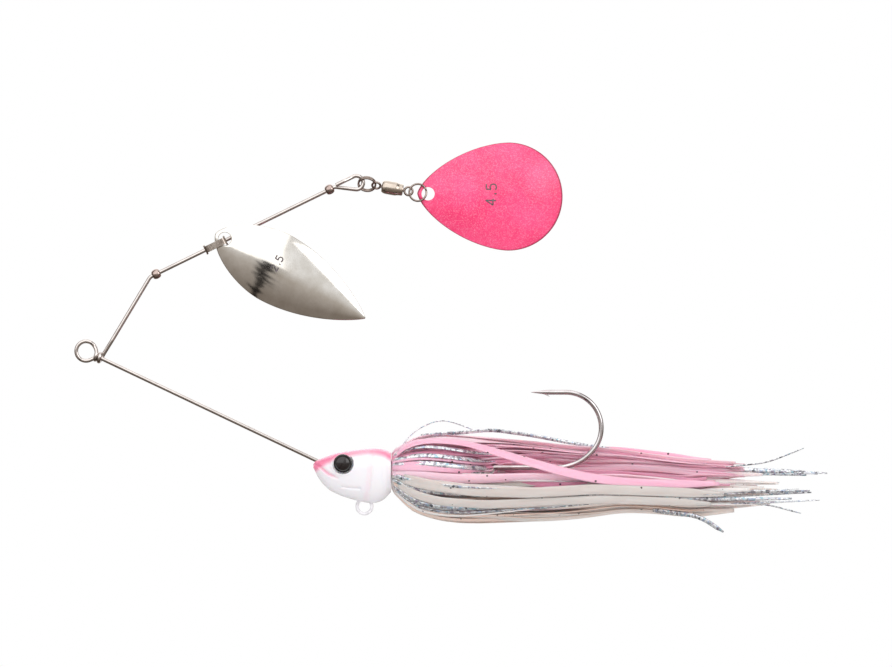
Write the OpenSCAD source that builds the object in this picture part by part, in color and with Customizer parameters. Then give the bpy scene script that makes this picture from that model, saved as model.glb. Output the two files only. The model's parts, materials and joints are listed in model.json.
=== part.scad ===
// Spinnerbait: a cast lead head on a bent wire frame, with a willow blade on a clevis,
// a Colorado blade on a ball bearing swivel, and a silicone skirt round the hook shank.
// The line tie's eye is the origin. +X runs from the line tie to the tail, +Z is up
// (the side of the hook point), and the frame lies in the XZ plane.

/* [Wire frame] */
// Diameter of the frame's wire
wire_d = 0.9; // [0.7:0.05:1.1]
// Inside radius of the line tie's eye
tie_eye_r = 1.7; // [1.4:0.1:2.4]
// Length of the lower arm, from the centre of the line tie to the head's nose
lower_arm_length = 56; // [48:1:68]
// Slope of the lower arm below the horizontal, in degrees
lower_arm_slope = 25.4; // [20:0.2:30]
// Length of the upper arm's steep first part
riser_length = 20.0; // [16:0.5:26]
// Slope of the steep first part, in degrees
riser_slope = 59; // [50:0.5:66]
// Length of the upper arm's straight main part, from its bend to the end loop
upper_arm_length = 45.2; // [42:0.2:56]
// Slope of the main part, in degrees
upper_arm_slope = 26; // [18:0.1:30]
// Radius of the end loop's round end, to the middle of the wire
loop_r = 1.5; // [1.3:0.1:2.2]
// Length of the end loop's straight lower side
loop_side = 4.6; // [3.6:0.2:7]

/* [Head] */
// Length of the head, nose to rear face
head_length = 17.1; // [14:0.1:21]
// Height of the head
head_height = 12.35; // [10.2:0.05:15]
// Thickness of the head, side to side
head_width = 10.4; // [8.6:0.1:12.6]
// Diameter of each eye
eye_d = 4.1; // [3:0.1:5]
// Length of the keeper that carries the skirt
keeper_length = 6; // [4.6:0.2:8]
// Diameter of the keeper
keeper_d = 5.2; // [4.4:0.1:6.2]
// Outer diameter of the belly eyelet
eyelet_d = 4; // [3.2:0.1:5]
// Wire of the belly eyelet
eyelet_wire_d = 0.75; // [0.6:0.05:0.9]

/* [Hook] */
// Diameter of the hook's wire
hook_wire_d = 1.15; // [0.95:0.05:1.4]
// Length of the shank, from the head's rear face to the start of the bend
shank_length = 36.4; // [30:0.5:44]
// Radius of the first, wide part of the bend
bend_wide_r = 10.5; // [8.5:0.5:12.5]
// Radius of the second, tighter part of the bend
bend_tight_r = 7.8; // [6.4:0.1:9.4]
// Length of the parallel part between the bend and the point's taper
hook_spear = 3.5; // [3:0.1:5]
// Length of the tapered point
point_length = 4.2; // [3.4:0.1:5.2]

/* [Willow blade] */
// Length of the willow blade
willow_length = 38; // [31:0.5:40]
// Width of the willow blade
willow_width = 15.8; // [12.8:0.2:18.6]
// Depth of its cup
willow_cup = 1.8; // [1.4:0.1:2.2]
// Slope of the blade below the horizontal as it is laid out, in degrees
willow_slope = 29.5; // [10:0.5:40]

/* [Colorado blade] */
// Length of the Colorado blade
colorado_length = 32; // [26:0.5:39]
// Width of the Colorado blade
colorado_width = 23.8; // [19.8:0.2:28.6]
// Depth of its cup
colorado_cup = 3.4; // [2.8:0.1:4.2]
// Slope of the blade below the horizontal, in degrees
colorado_slope = 2; // [-10:0.5:12]

/* [Blades and clevis] */
// Thickness of both blades
blade_t = 0.5; // [0.4:0.05:0.6]
// Radius of the hole in each blade
blade_hole_r = 1.45; // [1.3:0.05:1.75]
// Distance from the centre of each blade's hole to its front edge
blade_hole_edge = 2.4; // [2.2:0.1:3]
// Thickness of the clevis's strip
clevis_t = 0.4; // [0.3:0.02:0.5]
// Width of the clevis's strip
clevis_w = 1.5; // [1.2:0.1:1.8]
// Distance between the middles of the clevis's two ears
clevis_span = 4.8; // [4:0.1:6]
// Distance along the upper arm from its bend to the clevis's middle
clevis_place = 16; // [12:0.5:22]
// Diameter of the beads
bead_d = 2.2; // [1.8:0.1:2.4]
// Length of the beads
bead_length = 1.9; // [1.5:0.1:2.1]

/* [Swivel and rings] */
// Outer diameter of the split rings
ring_d = 4.2; // [3.8:0.1:5]
// Wire of the split rings, which lie in two coils
ring_wire_d = 0.45; // [0.36:0.01:0.5]
// Slope of the front ring below the horizontal, in degrees
ring_front_slope = 8; // [0:0.5:20]
// Turn of the front ring about its own length, in degrees
ring_front_turn = 42; // [20:1:60]
// Diameter of the swivel's barrel
barrel_d = 3; // [2.6:0.1:3.6]
// Length of the barrel
barrel_length = 4.8; // [4.4:0.1:6]
// Wire of the swivel's eyes
pin_wire_d = 0.5; // [0.42:0.02:0.6]
// Inside radius of the swivel's eyes
pin_eye_r = 0.65; // [0.6:0.01:0.8]
// Slope of the swivel below the horizontal, in degrees
swivel_slope = 10; // [0:0.5:20]

/* [Skirt] */
// Distance from the head's rear face to the tips of the main strands
skirt_length = 76; // [62:1:92]
// How much further the longest strands reach
skirt_tail = 22; // [10:1:28]
// Height of the skirt at its fullest
skirt_height = 20.2; // [17:0.2:24]
// Thickness of the skirt at its fullest, side to side
skirt_width = 19; // [16:0.2:22]
// Width of the rubber band
band_w = 2.6; // [2:0.1:3.4]
// Wall of the rubber band
band_t = 1; // [0.8:0.1:1.2]

/* [Hidden] */
$fn = 48;

// clearances
cast_gap = 0.02;      // a cast-in wire and its channel in the head
running_gap = 0.06;   // a bore that turns or slides on its shaft, on the radius
link_gap = 0.05;      // two wires that hang in each other
seat_gap = 0.3;       // soft or loosely hung pieces beside what carries them
blade_gap = 0.12;     // beside the willow blade, where it swings past the beads and the front ring

// wire frame: places are [x, z] in the plane y = 0, and headings are in degrees above +X
wire_r = wire_d / 2;
joint_swell = 1.012;                        // the ball at a joint, against the wire
shy = 0.02;                                 // a length stops this short of its joint's middle
tie_r = tie_eye_r + wire_r;                 // to the middle of the eye's wire
wrap_turns = 2;
wrap_pitch = wire_d * 0.94;
wrap_r = wire_d * 0.97;                     // the wrapped coils press into the arm a little
wrap_start = tie_r + wire_d * 0.9;
riser_start = wrap_start + wrap_pitch * (wrap_turns - 1);
riser_bend_r = 1.6;
apex_bend_r = 1;
apex_bend = 33;                             // how far the arm turns down into the end loop
loop_turn = 180 + apex_bend;                // how far the loop's round end turns
cast_in = 6.5;                              // length of lower arm inside the head

function at(a) = [cos(a), sin(a)];
function tie_point(s) = s * at(-lower_arm_slope);
riser_foot = tie_point(riser_start) + wrap_r * at(90 - lower_arm_slope);
riser_top = riser_foot + riser_length * at(riser_slope);
function arm_point(s) = riser_top + s * at(upper_arm_slope);

riser_bend = riser_slope - upper_arm_slope;
riser_trim = riser_bend_r * tan(riser_bend / 2);
apex_trim = apex_bend_r * tan(apex_bend / 2);
apex = arm_point(upper_arm_length);
loop_heading = upper_arm_slope - apex_bend;
loop_centre = apex + loop_side * at(loop_heading) + loop_r * at(loop_heading + 90);
loop_back = loop_side - wire_d / sin(apex_bend) - link_gap;   // the wire's end stops beside the arm

// beads and clevis on the upper arm
bead_r = bead_d / 2;
bead_lower_place = riser_trim + bead_length / 2 + link_gap;
bead_upper_place = upper_arm_length - apex_trim - bead_length / 2 - link_gap;
ear_r = wire_r + running_gap + 0.6;
ring_wire_r = ring_wire_d / 2;
ring_r = ring_d / 2 - ring_wire_r;                  // to the middle of the ring's wire
coil_offset = ring_wire_r * 0.97;
ring_front_side = ring_r * cos(ring_front_turn) + coil_offset * sin(ring_front_turn) + ring_wire_r;
willow_rim = max(bead_r, ring_front_side) + blade_gap;   // from the frame's plane to the blade's rim
willow_front_share = 0.4;                           // the widest place, as a share of the length
willow_at_hole = 1 - pow(1 - blade_hole_edge / (willow_length * willow_front_share), 2);
clevis_depth = willow_rim + willow_cup * willow_at_hole + blade_t + seat_gap;
leg_place = clevis_place + clevis_span / 2;
clevis_leg = arm_point(leg_place);
willow_hole = clevis_leg + [-0.1, 0.3];             // the leg bears on the hole's lower side

// rings and swivel, one after another from the end loop
pin_wire_r = pin_wire_d / 2;
pin_eye_mean = pin_eye_r + pin_wire_r;
link_tilt = 40;                                     // how far a ring and a swivel eye can tilt
eye_room = pin_eye_r - ring_wire_r - link_gap;      // for the middle of a coil, from the eye's centre
// from the eye's centre to the ring's wire, so that both coils clear the eye at the full tilt
in_eye = sqrt(pow(eye_room, 2) - pow(coil_offset * cos(link_tilt), 2)) - coil_offset * sin(link_tilt);
loop_room = 0.35;                                   // the turned ring crosses the loop at a slant
ring_reach = loop_r - wire_r - ring_wire_r - loop_room + ring_r;   // the ring hangs inside the loop
ring_front_centre = loop_centre + ring_reach * at(-ring_front_slope);
front_link = ring_front_centre + ring_r * at(-ring_front_slope);
pin_front_eye = front_link + in_eye * at(-swivel_slope);
eye_to_barrel = pin_eye_mean + pin_wire_r + link_gap;
barrel_front = pin_front_eye + eye_to_barrel * at(-swivel_slope);
barrel_middle = barrel_front + barrel_length / 2 * at(-swivel_slope);
pin_rear_eye = barrel_front + (barrel_length + eye_to_barrel) * at(-swivel_slope);
rear_link = pin_rear_eye + in_eye * at(-swivel_slope);
ring_rear_slope = swivel_slope - 2;                  // the ring lies a little flatter
ring_rear_centre = rear_link + ring_r * at(-ring_rear_slope);
blade_link = rear_link + 2 * ring_r * at(-ring_rear_slope);
hole_seat = 0.4;                                    // the ring bears ahead of the hole's centre
colorado_hole = blade_link + hole_seat * at(-colorado_slope);
colorado_front_share = 1 - colorado_width / 2 / colorado_length;
colorado_at_hole = 1 - pow(1 - blade_hole_edge / (colorado_length * colorado_front_share), 2);

// inside of the swivel
barrel_wall = 0.3;
barrel_end_wall = 0.45;
pin_shank_r = 0.32;
pin_head_r = 0.95;
pin_head_t = 0.5;
ball_r = 0.24;
ball_count = 8;
ball_circle_r = 0.74;
race_gap = 0.04;
pin_head_from_end = barrel_end_wall + 2 * ball_r + 2 * race_gap;

// head: the nose is the start, and sections are ovals that share one widest place
nose_cover = [-0.6, -0.5];                          // lead ahead of and below the arm's entry
nose = tie_point(lower_arm_length) + nose_cover;
head_crown = head_height * 0.28;                    // above the nose's level
head_belly = head_height * 0.72;                    // below it
head_wide_place = head_length * 0.81;
head_rear_reach = head_length * 0.26;               // from the widest place to where an end would close
head_rear = nose[0] + head_length;
keeper_z = nose[1] - 1.9;
shank_z = nose[1] - 1.1;
eye_place = [nose[0] + head_length * 0.38, nose[1] - 0.2];
eyelet_r = eyelet_d / 2 - eyelet_wire_d / 2;
eyelet_centre = [nose[0] + head_length * 0.66, nose[1] - head_belly - 0.75];
shank_cast_in = 7;
head_sides = 32;

// the head's girth at a distance along it, from 0 at a closed end to 1 at the widest place
function girth(s) = s < head_wide_place
    ? sqrt(max(0, 1 - pow((head_wide_place - s) / head_wide_place, 2)))
    : sqrt(max(0, 1 - pow((s - head_wide_place) / head_rear_reach / 1.35, 2)));
eye_socket_y = head_width / 2 * girth(eye_place[0] - nose[0]) - 0.75;

// skirt
shank_end = head_rear + shank_length;
band_r = keeper_d / 2 + cast_gap + band_t;
skirt_start = head_rear + seat_gap;
skirt_end = head_rear + skirt_length;
strand_thick = 2.1;
flash_thick = 0.5;
skirt_rings = 16;
strand_sides = 10;

// ---------------------------------------------------------------- helpers

// puts children whose own frame is [along, across, up] at a place and slope in the plane y = 0
module in_plane(place, heading) {
    translate([place[0], 0, place[1]]) rotate([0, -heading, 0]) children();
}

// a length of wire along +X
module rod(length, r) {
    rotate([0, 90, 0]) cylinder(h = length, r = r, $fn = 32);
}

// one round arc of wire that leaves along +X and turns up (angle > 0) or down (angle < 0)
module arc(bend_r, angle, r) {
    side = sign(angle);
    translate([0, 0, side * bend_r])
        rotate([90, 0, 0])
            rotate([0, 0, side > 0 ? -90 : 90 - abs(angle)])
                rotate_extrude(angle = abs(angle)) translate([bend_r, 0]) circle(r = r, $fn = 24);
}

// a run of wire from a list of [length, bend radius, bend angle], each laid at the last one's end;
// a ball a hair wider than the wire joins each length to its bend
module wire_run(steps, r, i = 0) {
    if (i < len(steps)) {
        step = steps[i];
        last = i == len(steps) - 1;
        if (step[0] > 0)
            translate([i > 0 ? shy : 0, 0, 0])
                rod(step[0] - (i > 0 ? shy : 0) - (last ? 0 : shy), r);
        translate([step[0], 0, 0]) {
            if (!last) sphere(r = r * joint_swell, $fn = 32);
            if (step[2] != 0) arc(step[1], step[2], r);
            turn = step[2];
            shift = step[1] * [sin(abs(turn)), 0, sign(turn) * (1 - cos(turn))];
            translate(shift) rotate([0, -turn, 0]) {
                if (!last && steps[i + 1][0] > 0) sphere(r = r * joint_swell, $fn = 32);
                wire_run(steps, r, i + 1);
            }
        }
    }
}

module torus(mean_r, r) {
    rotate_extrude() translate([mean_r, 0]) circle(r = r, $fn = 24);
}

// closed skin over rings of points, each with the same count, capped at both ends; seen from
// the last ring, the points of each ring run clockwise
module skin(rings) {
    count = len(rings[0]);
    last = len(rings) - 1;
    points = [for (ring = rings) each ring];
    sides = [for (i = [0 : last - 1], j = [0 : count - 1])
        let (a = i * count + j, b = i * count + (j + 1) % count)
        each [[a, b, a + count], [b, b + count, a + count]]];
    caps = [[for (j = [count - 1 : -1 : 0]) j], [for (j = [0 : count - 1]) last * count + j]];
    polyhedron(points, concat(sides, caps), convexity = 6);
}

// ---------------------------------------------------------------- frame and what runs on it

module wire_frame() {
    color("silver") {
        // lower arm and the eye of the line tie
        in_plane([0, 0], -lower_arm_slope)
            translate([tie_r, 0, 0]) rod(lower_arm_length + cast_in - tie_r, wire_r);
        rotate([90, 0, 0]) torus(tie_r, wire_r);
        // the wire wrapped round the lower arm
        in_plane([0, 0], -lower_arm_slope)
            for (i = [0 : wrap_turns - 1])
                translate([wrap_start + i * wrap_pitch, 0, 0]) rotate([0, 90, 0]) torus(wrap_r, wire_r);
        // upper arm and end loop
        in_plane(riser_foot, riser_slope)
            wire_run([
                [riser_length - riser_trim, riser_bend_r, -riser_bend],
                [upper_arm_length - riser_trim - apex_trim, apex_bend_r, -apex_bend],
                [loop_side - apex_trim, loop_r, loop_turn],
                [loop_back, 0, 0]
            ], wire_r);
    }
}

module bead(place) {
    color("rosybrown")
        in_plane(arm_point(place), upper_arm_slope)
            rotate([0, 90, 0])
                difference() {
                    intersection() {
                        sphere(r = bead_r);
                        cylinder(h = bead_length, r = bead_d, center = true);
                    }
                    cylinder(h = bead_d * 2, r = wire_r + running_gap, center = true);
                }
}

module bead_lower() {
    bead(bead_lower_place);
}

module bead_upper() {
    bead(bead_upper_place);
}

// outline of the clevis's bent strip: u runs along the arm, v away from it, with rounded corners
function corner_points(cu, cv, r, from, steps = 6) =
    [for (i = [0 : steps]) [cu + r * cos(from + i * 90 / steps), cv + r * sin(from + i * 90 / steps)]];

function reversed(list) = [for (i = [len(list) - 1 : -1 : 0]) list[i]];

module clevis_strip() {
    outer_u = clevis_span / 2 + clevis_t / 2;
    outer_v = clevis_depth + clevis_t;
    outer_r = 0.9;
    inner_r = outer_r - clevis_t;
    inner_u = outer_u - clevis_t;
    polygon(concat(
        [[outer_u, 0]],
        corner_points(outer_u - outer_r, outer_v - outer_r, outer_r, 0),
        corner_points(outer_r - outer_u, outer_v - outer_r, outer_r, 90),
        [[-outer_u, 0], [-inner_u, 0]],
        reversed(corner_points(outer_r - outer_u, outer_v - outer_r, inner_r, 90)),
        reversed(corner_points(outer_u - outer_r, outer_v - outer_r, inner_r, 0)),
        [[inner_u, 0]]
    ));
}

module clevis() {
    color("darkgray")
        in_plane(arm_point(clevis_place), upper_arm_slope)
            difference() {
                union() {
                    // the strip, bent towards -Y
                    mirror([0, 1, 0])
                        translate([0, 0, -clevis_w / 2]) linear_extrude(clevis_w) clevis_strip();
                    for (side = [-1, 1])
                        translate([side * clevis_span / 2, 0, 0]) rotate([0, 90, 0])
                            cylinder(h = clevis_t, r = ear_r, center = true);
                }
                rotate([0, 90, 0]) cylinder(h = clevis_span * 2, r = wire_r + running_gap, center = true);
            }
}

// half width of a blade at a share x of the way from its widest place to one end
function blade_half(width, x, sharpness, fullness) =
    width / 2 * pow(max(0, 1 - pow(x, sharpness)), fullness);

// outline of a blade round its widest place, from the tail through one side to the nose and back
function blade_outline(length, width, front_share, front, rear, sides) =
    [for (i = [0 : sides - 1])
        let (a = i * 360 / sides,
             c = cos(a),
             ahead = c < 0,
             x = pow(abs(c), 0.8),
             half = ahead ? blade_half(width, x, front[0], front[1])
                          : blade_half(width, x, rear[0], rear[1]))
        [ahead ? -x * length * front_share : x * length * (1 - front_share), sign(sin(a)) * half]];

// a cupped blade with its hole at the origin, its tail along +X, and its back bulging to -Y;
// every contour of the cup is the outline drawn smaller, so the cup falls as 1 - share^2
module blade(length, width, cup, front_share, front, rear, hole_drop) {
    rings = 9;
    sides = 44;
    outline = blade_outline(length, width, front_share, front, rear, sides);
    widest = length * front_share - blade_hole_edge;
    shares = [for (i = [1 : rings]) sin(i * 90 / rings)];
    function layer(y) = [for (s = shares) [for (p = outline)
        [widest + p[0] * s, y + hole_drop - cup * (1 - s * s), p[1] * s]]];
    back = layer(-blade_t / 2);
    face = layer(blade_t / 2);
    all_rings = concat(back, [for (i = [rings - 1 : -1 : 0]) face[i]]);
    difference() {
        skin(all_rings);
        rotate([90, 0, 0]) cylinder(h = 4 * cup + 4, r = blade_hole_r, center = true);
    }
}

module willow_blade() {
    color("gainsboro")
        translate([0, -willow_rim - willow_cup * willow_at_hole - blade_t / 2, 0])
            in_plane(willow_hole, -willow_slope)
                blade(willow_length, willow_width, willow_cup, willow_front_share,
                      [1.75, 0.65], [1.86, 0.9], willow_cup * willow_at_hole);
}

// ---------------------------------------------------------------- rings, swivel and tail blade

module split_ring() {
    rotate_extrude()
        for (side = [-1, 1])
            translate([ring_r, side * coil_offset]) circle(r = ring_wire_r);
}

module ring_front() {
    color("dimgray")
        in_plane(ring_front_centre, -ring_front_slope) rotate([ring_front_turn, 0, 0]) split_ring();
}

module ring_rear() {
    color("dimgray") in_plane(ring_rear_centre, -ring_rear_slope) split_ring();
}

// the pin's eye is at the origin and its head at the far end of the shank, inside the barrel
module swivel_pin() {
    head_place = eye_to_barrel + pin_head_from_end;
    rotate([90, 0, 0]) torus(pin_eye_mean, pin_wire_r);
    translate([pin_eye_mean, 0, 0]) rod(head_place - pin_eye_mean + pin_head_t / 2, pin_shank_r);
    translate([head_place, 0, 0]) rod(pin_head_t, pin_head_r);
}

module swivel_pin_front() {
    color("gray")
        in_plane(pin_front_eye, -swivel_slope) rotate([ring_front_turn, 0, 0]) swivel_pin();
}

module swivel_pin_rear() {
    color("gray")
        in_plane(pin_rear_eye, -swivel_slope) mirror([1, 0, 0]) swivel_pin();
}

// half section of the barrel: the front shoulder is blunt and the rear one tapers to a collar
module barrel_half_section() {
    r = barrel_d / 2;
    h = barrel_length / 2;
    bore = pin_shank_r + running_gap;
    inner = r - barrel_wall;
    race = pin_head_r + running_gap;
    collar = race + barrel_wall;
    shoulder = 0.35;
    taper = 1.3;
    difference() {
        polygon([[bore, -h], [r - shoulder * 0.8, -h], [r, -h + shoulder], [r, h - taper],
                 [collar, h - 0.6], [collar, h - 0.3], [collar - 0.25, h], [bore, h]]);
        polygon([[0, -h + barrel_end_wall], [inner, -h + barrel_end_wall], [inner, h - taper - 0.2],
                 [race, h - taper + 0.2], [race, h - barrel_end_wall], [0, h - barrel_end_wall]]);
    }
}

module swivel_barrel() {
    color("tan")
        in_plane(barrel_middle, -swivel_slope) rotate([0, 90, 0]) rotate_extrude() barrel_half_section();
}

module balls(from_end) {
    for (i = [0 : ball_count - 1])
        rotate([i * 360 / ball_count, 0, 0])
            translate([from_end, 0, ball_circle_r]) sphere(r = ball_r, $fn = 24);
}

module swivel_balls_front() {
    color("lightsteelblue")
        in_plane(barrel_front, -swivel_slope) balls(barrel_end_wall + race_gap + ball_r);
}

module swivel_balls_rear() {
    color("lightsteelblue")
        in_plane(barrel_front, -swivel_slope)
            balls(barrel_length - barrel_end_wall - race_gap - ball_r);
}

module colorado_blade() {
    color("deeppink")
        in_plane(colorado_hole, -colorado_slope)
            blade(colorado_length, colorado_width, colorado_cup, colorado_front_share,
                  [1.7, 0.7], [2, 0.5], colorado_cup * colorado_at_hole);
}

// ---------------------------------------------------------------- head and hook

// oval section at a distance along the head
function head_ring(s) =
    let (g = max(girth(s), 0.02))
    [for (i = [0 : head_sides - 1])
        let (a = -i * 360 / head_sides,
             c = cos(a),
             v = sin(a),
             up = v > 0 ? head_crown * pow(g, 0.25) : head_belly)
        [nose[0] + s, head_width / 2 * g * sign(c) * pow(abs(c), 0.9), nose[1] + up * g * v]];

module cast_body() {
    front = [for (i = [0 : 11]) head_wide_place * (1 - cos(i * 90 / 11))];
    rear = [for (i = [1 : 5]) head_wide_place + (head_length - head_wide_place) * i / 5];
    skin([for (s = concat(front, rear)) head_ring(s)]);
}

module eyelet_shape(extra) {
    translate([eyelet_centre[0], 0, eyelet_centre[1]]) {
        rotate([90, 0, 0]) torus(eyelet_r, eyelet_wire_d / 2 + extra);
        translate([0, 0, eyelet_r]) cylinder(h = 3, r = eyelet_wire_d / 2 + extra);
    }
}

module head() {
    color("whitesmoke")
        difference() {
            union() {
                cast_body();
                in_plane([head_rear, keeper_z], 0) translate([-2, 0, 0]) rod(keeper_length + 2, keeper_d / 2);
            }
            // channels of the cast-in frame wire, hook shank and eyelet
            in_plane([0, 0], -lower_arm_slope)
                rod(lower_arm_length + cast_in + cast_gap, wire_r + cast_gap);
            in_plane([head_rear - shank_cast_in - cast_gap, shank_z], 0)
                rod(shank_cast_in + keeper_length + 1, hook_wire_d / 2 + cast_gap);
            eyelet_shape(cast_gap);
            // eye sockets
            for (side = [-1, 1])
                translate([eye_place[0], side * (eye_socket_y + 2), eye_place[1]]) rotate([90, 0, 0])
                    cylinder(h = 4, r = eye_d / 2 + cast_gap, center = true);
        }
}

// a domed eye on a short round foot, which stands in the socket
module eye_dome(side) {
    foot = 0.6;
    dome = 0.75;
    r = eye_d / 2;
    ball = (r * r + dome * dome) / (2 * dome);
    color("black")
        translate([eye_place[0], side * (eye_socket_y + cast_gap), eye_place[1]])
            rotate([-side * 90, 0, 0])
                intersection() {
                    cylinder(h = foot + dome, r = r);
                    translate([0, 0, foot + dome - ball]) sphere(r = ball, $fn = 96);
                }
}

module eye_left() {
    eye_dome(-1);
}

module eye_right() {
    eye_dome(1);
}

module belly_eyelet() {
    color("white") eyelet_shape(0);
}

module hook() {
    wide_turn = 50;
    color("slategray")
        in_plane([head_rear - shank_cast_in, shank_z], 0) {
            wire_run([
                [shank_cast_in + shank_length, bend_wide_r, wide_turn],
                [0, bend_tight_r, 180 - wide_turn],
                [hook_spear, 0, 0]
            ], hook_wire_d / 2);
            bend_x = shank_cast_in + shank_length + bend_wide_r * sin(wide_turn)
                - bend_tight_r * sin(wide_turn);
            bend_z = bend_wide_r * (1 - cos(wide_turn)) + bend_tight_r * (1 + cos(wide_turn));
            translate([bend_x - hook_spear, 0, bend_z]) {
                sphere(r = hook_wire_d / 2 * joint_swell, $fn = 32);
                rotate([0, -90, 0]) cylinder(h = point_length, r1 = hook_wire_d / 2, r2 = 0.03);
                // barb, raised from the inner side and pointing back to the bend
                translate([0.2, 0, -hook_wire_d / 2 + 0.12]) rotate([90, 0, 0])
                    linear_extrude(0.3, center = true) polygon([[0, 0], [1.5, -0.5], [1.2, 0]]);
            }
        }
}

// ---------------------------------------------------------------- skirt

module skirt_band() {
    color("palevioletred")
        in_plane([head_rear + 1, keeper_z], 0) rotate([0, 90, 0])
            difference() {
                cylinder(h = band_w, r = band_r);
                translate([0, 0, -1]) cylinder(h = band_w + 2, r = keeper_d / 2 + cast_gap);
            }
}

// the skirt's swell at a share t of its length: up to 1 in a short flare, then down to its waist
function swell(t) = t < 0.15
    ? pow(sin(90 * t / 0.15), 0.8)
    : 0.16 + 0.42 * (1 + cos(180 * min(1, (t - 0.15) / 0.65)));

// middle line of the skirt, which droops a little behind the head
function skirt_axis(t) = keeper_z - 1.6 * min(1, 5 * t) - 1.2 * t;

// a bundle of strands at an angle round the shank, given as a tapering tube
module strand_bundle(angle, thick, reach) {
    hold = band_r + seat_gap + thick * 0.5;
    span = skirt_end + reach - skirt_start;
    skin([for (i = [0 : skirt_rings])
        let (t = pow(i / skirt_rings, 1.4),
             full = swell(min(1, t * span / (skirt_end - skirt_start))),
             wide = hold + (skirt_width / 2 - thick - hold) * full,
             high = hold + (skirt_height / 2 - thick - hold) * full,
             r = thick * (0.5 + 0.5 * full) * (1 - 0.5 * pow(t, 3)))
        [for (j = [0 : strand_sides - 1])
            let (a = -j * 360 / strand_sides)
            [skirt_start + span * t,
             cos(angle) * wide + r * cos(a),
             skirt_axis(t) + sin(angle) * high + r * sin(a)]]]);
}

module skirt_upper_left() {
    color("hotpink") strand_bundle(118, strand_thick, 0);
}

module skirt_upper_right() {
    color("hotpink") strand_bundle(62, strand_thick, 0);
}

module skirt_side_left() {
    color("pink") strand_bundle(178, strand_thick, 0);
}

module skirt_side_right() {
    color("pink") strand_bundle(2, strand_thick, 0);
}

module skirt_lower_left() {
    color("lightpink") strand_bundle(225, strand_thick, 0);
}

module skirt_lower_right() {
    color("lightpink") strand_bundle(-45, strand_thick, 0);
}

module skirt_bottom() {
    color("peachpuff") strand_bundle(270, strand_thick, 0);
}

module skirt_flash_tail() {
    color("silver") strand_bundle(-68, flash_thick, skirt_tail);
}

wire_frame();
bead_lower();
clevis();
willow_blade();
bead_upper();
ring_front();
swivel_pin_front();
swivel_balls_front();
swivel_barrel();
swivel_balls_rear();
swivel_pin_rear();
ring_rear();
colorado_blade();
head();
eye_left();
eye_right();
belly_eyelet();
hook();
skirt_band();
skirt_upper_left();
skirt_upper_right();
skirt_side_left();
skirt_side_right();
skirt_lower_left();
skirt_lower_right();
skirt_bottom();
skirt_flash_tail();
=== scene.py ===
"""Spinnerbait: the visible pieces of a wire framed fishing lure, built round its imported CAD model.

Lengths in this file are millimetres until a mesh is written, which turns them to metres.
X runs from the line tie to the tail, Z is up, and the wire frame lies in the plane Y = 0.
"""
import json
import math
from types import SimpleNamespace

import bpy
import numpy as np
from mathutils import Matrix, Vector


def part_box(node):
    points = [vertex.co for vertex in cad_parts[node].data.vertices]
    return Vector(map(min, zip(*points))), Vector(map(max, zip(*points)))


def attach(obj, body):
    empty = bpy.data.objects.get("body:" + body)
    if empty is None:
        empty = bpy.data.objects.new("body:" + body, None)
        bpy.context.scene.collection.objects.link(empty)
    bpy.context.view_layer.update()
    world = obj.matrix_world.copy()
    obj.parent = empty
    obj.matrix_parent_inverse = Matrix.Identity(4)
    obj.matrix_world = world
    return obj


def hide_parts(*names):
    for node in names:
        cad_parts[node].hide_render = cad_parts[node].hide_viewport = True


bl_info = {
    "name": "Spinnerbait Builder",
    "version": (1, 0, 0),
    "blender": (4, 5, 0),
    "location": "View3D > Sidebar > Lure",
    "description": "Builds a spinnerbait's wire, blades, swivel, head, hook and skirt",
    "category": "Add Mesh",
}

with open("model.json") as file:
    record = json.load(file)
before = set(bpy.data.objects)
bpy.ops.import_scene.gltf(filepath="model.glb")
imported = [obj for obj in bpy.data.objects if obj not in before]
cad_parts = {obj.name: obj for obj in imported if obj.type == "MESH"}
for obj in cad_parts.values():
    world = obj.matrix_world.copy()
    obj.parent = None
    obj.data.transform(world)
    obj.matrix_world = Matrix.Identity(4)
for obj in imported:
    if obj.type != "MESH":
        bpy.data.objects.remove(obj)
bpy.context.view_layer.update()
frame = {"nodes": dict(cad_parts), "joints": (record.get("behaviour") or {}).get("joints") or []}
MM = 0.001
TAU = 2 * math.pi
ACROSS = np.array([0.0, 1.0, 0.0])
PIVOTS = {joint["name"]: joint for joint in frame["joints"]}

# Places in the frame's plane, as (x, z)
NOSE = np.array([49.987, -24.52])       # front end of the head
REAR = 67.087                           # x of the head's rear face
SHANK_Z = -25.62                        # height of the hook's shank
KEEPER_Z = -26.42                       # height of the keeper, the band and the skirt's roots
EYELET = np.array([61.273, -34.162])    # middle of the belly eyelet
WILLOW_HOLE = (30.551, 24.666)
COLORADO_HOLE = (75.260, 34.600)

# Slopes in degrees
LOWER = 25.4                            # lower arm, below level
RISER = 59.0                            # riser, above level
UPPER = 26.0                            # upper arm, above level
RING_SLOPE = -8.0                       # both split rings

WIRE_STEP = 0.14                        # between the rings of a wire's mesh
STRAND_STEP = 1.35                      # between the rings of a strand's mesh


# ------------------------------------------------------------------ places and directions

def pivot(joint):
    """The place of a joint, in millimetres, as (x, z) in the frame's plane."""
    x, _, z = PIVOTS[joint]["pos_m"]
    return np.array([x, z]) / MM


def box_mm(node):
    """Lowest and highest corner of a CAD node, in millimetres."""
    low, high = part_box(node)
    return np.array(low) / MM, np.array(high) / MM


def heading(degrees):
    """Unit direction in the frame's plane, that many degrees above +X, as (x, z)."""
    return np.array([math.cos(math.radians(degrees)), math.sin(math.radians(degrees))])


def unit(v):
    return v / np.linalg.norm(v, axis=-1, keepdims=True)


def lift(flat, y=0.0):
    """Points (x, z) of the frame's plane as (x, y, z)."""
    flat = np.asarray(flat, float)
    return np.stack([flat[..., 0], np.broadcast_to(y, flat.shape[:-1]), flat[..., 1]], -1)


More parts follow.
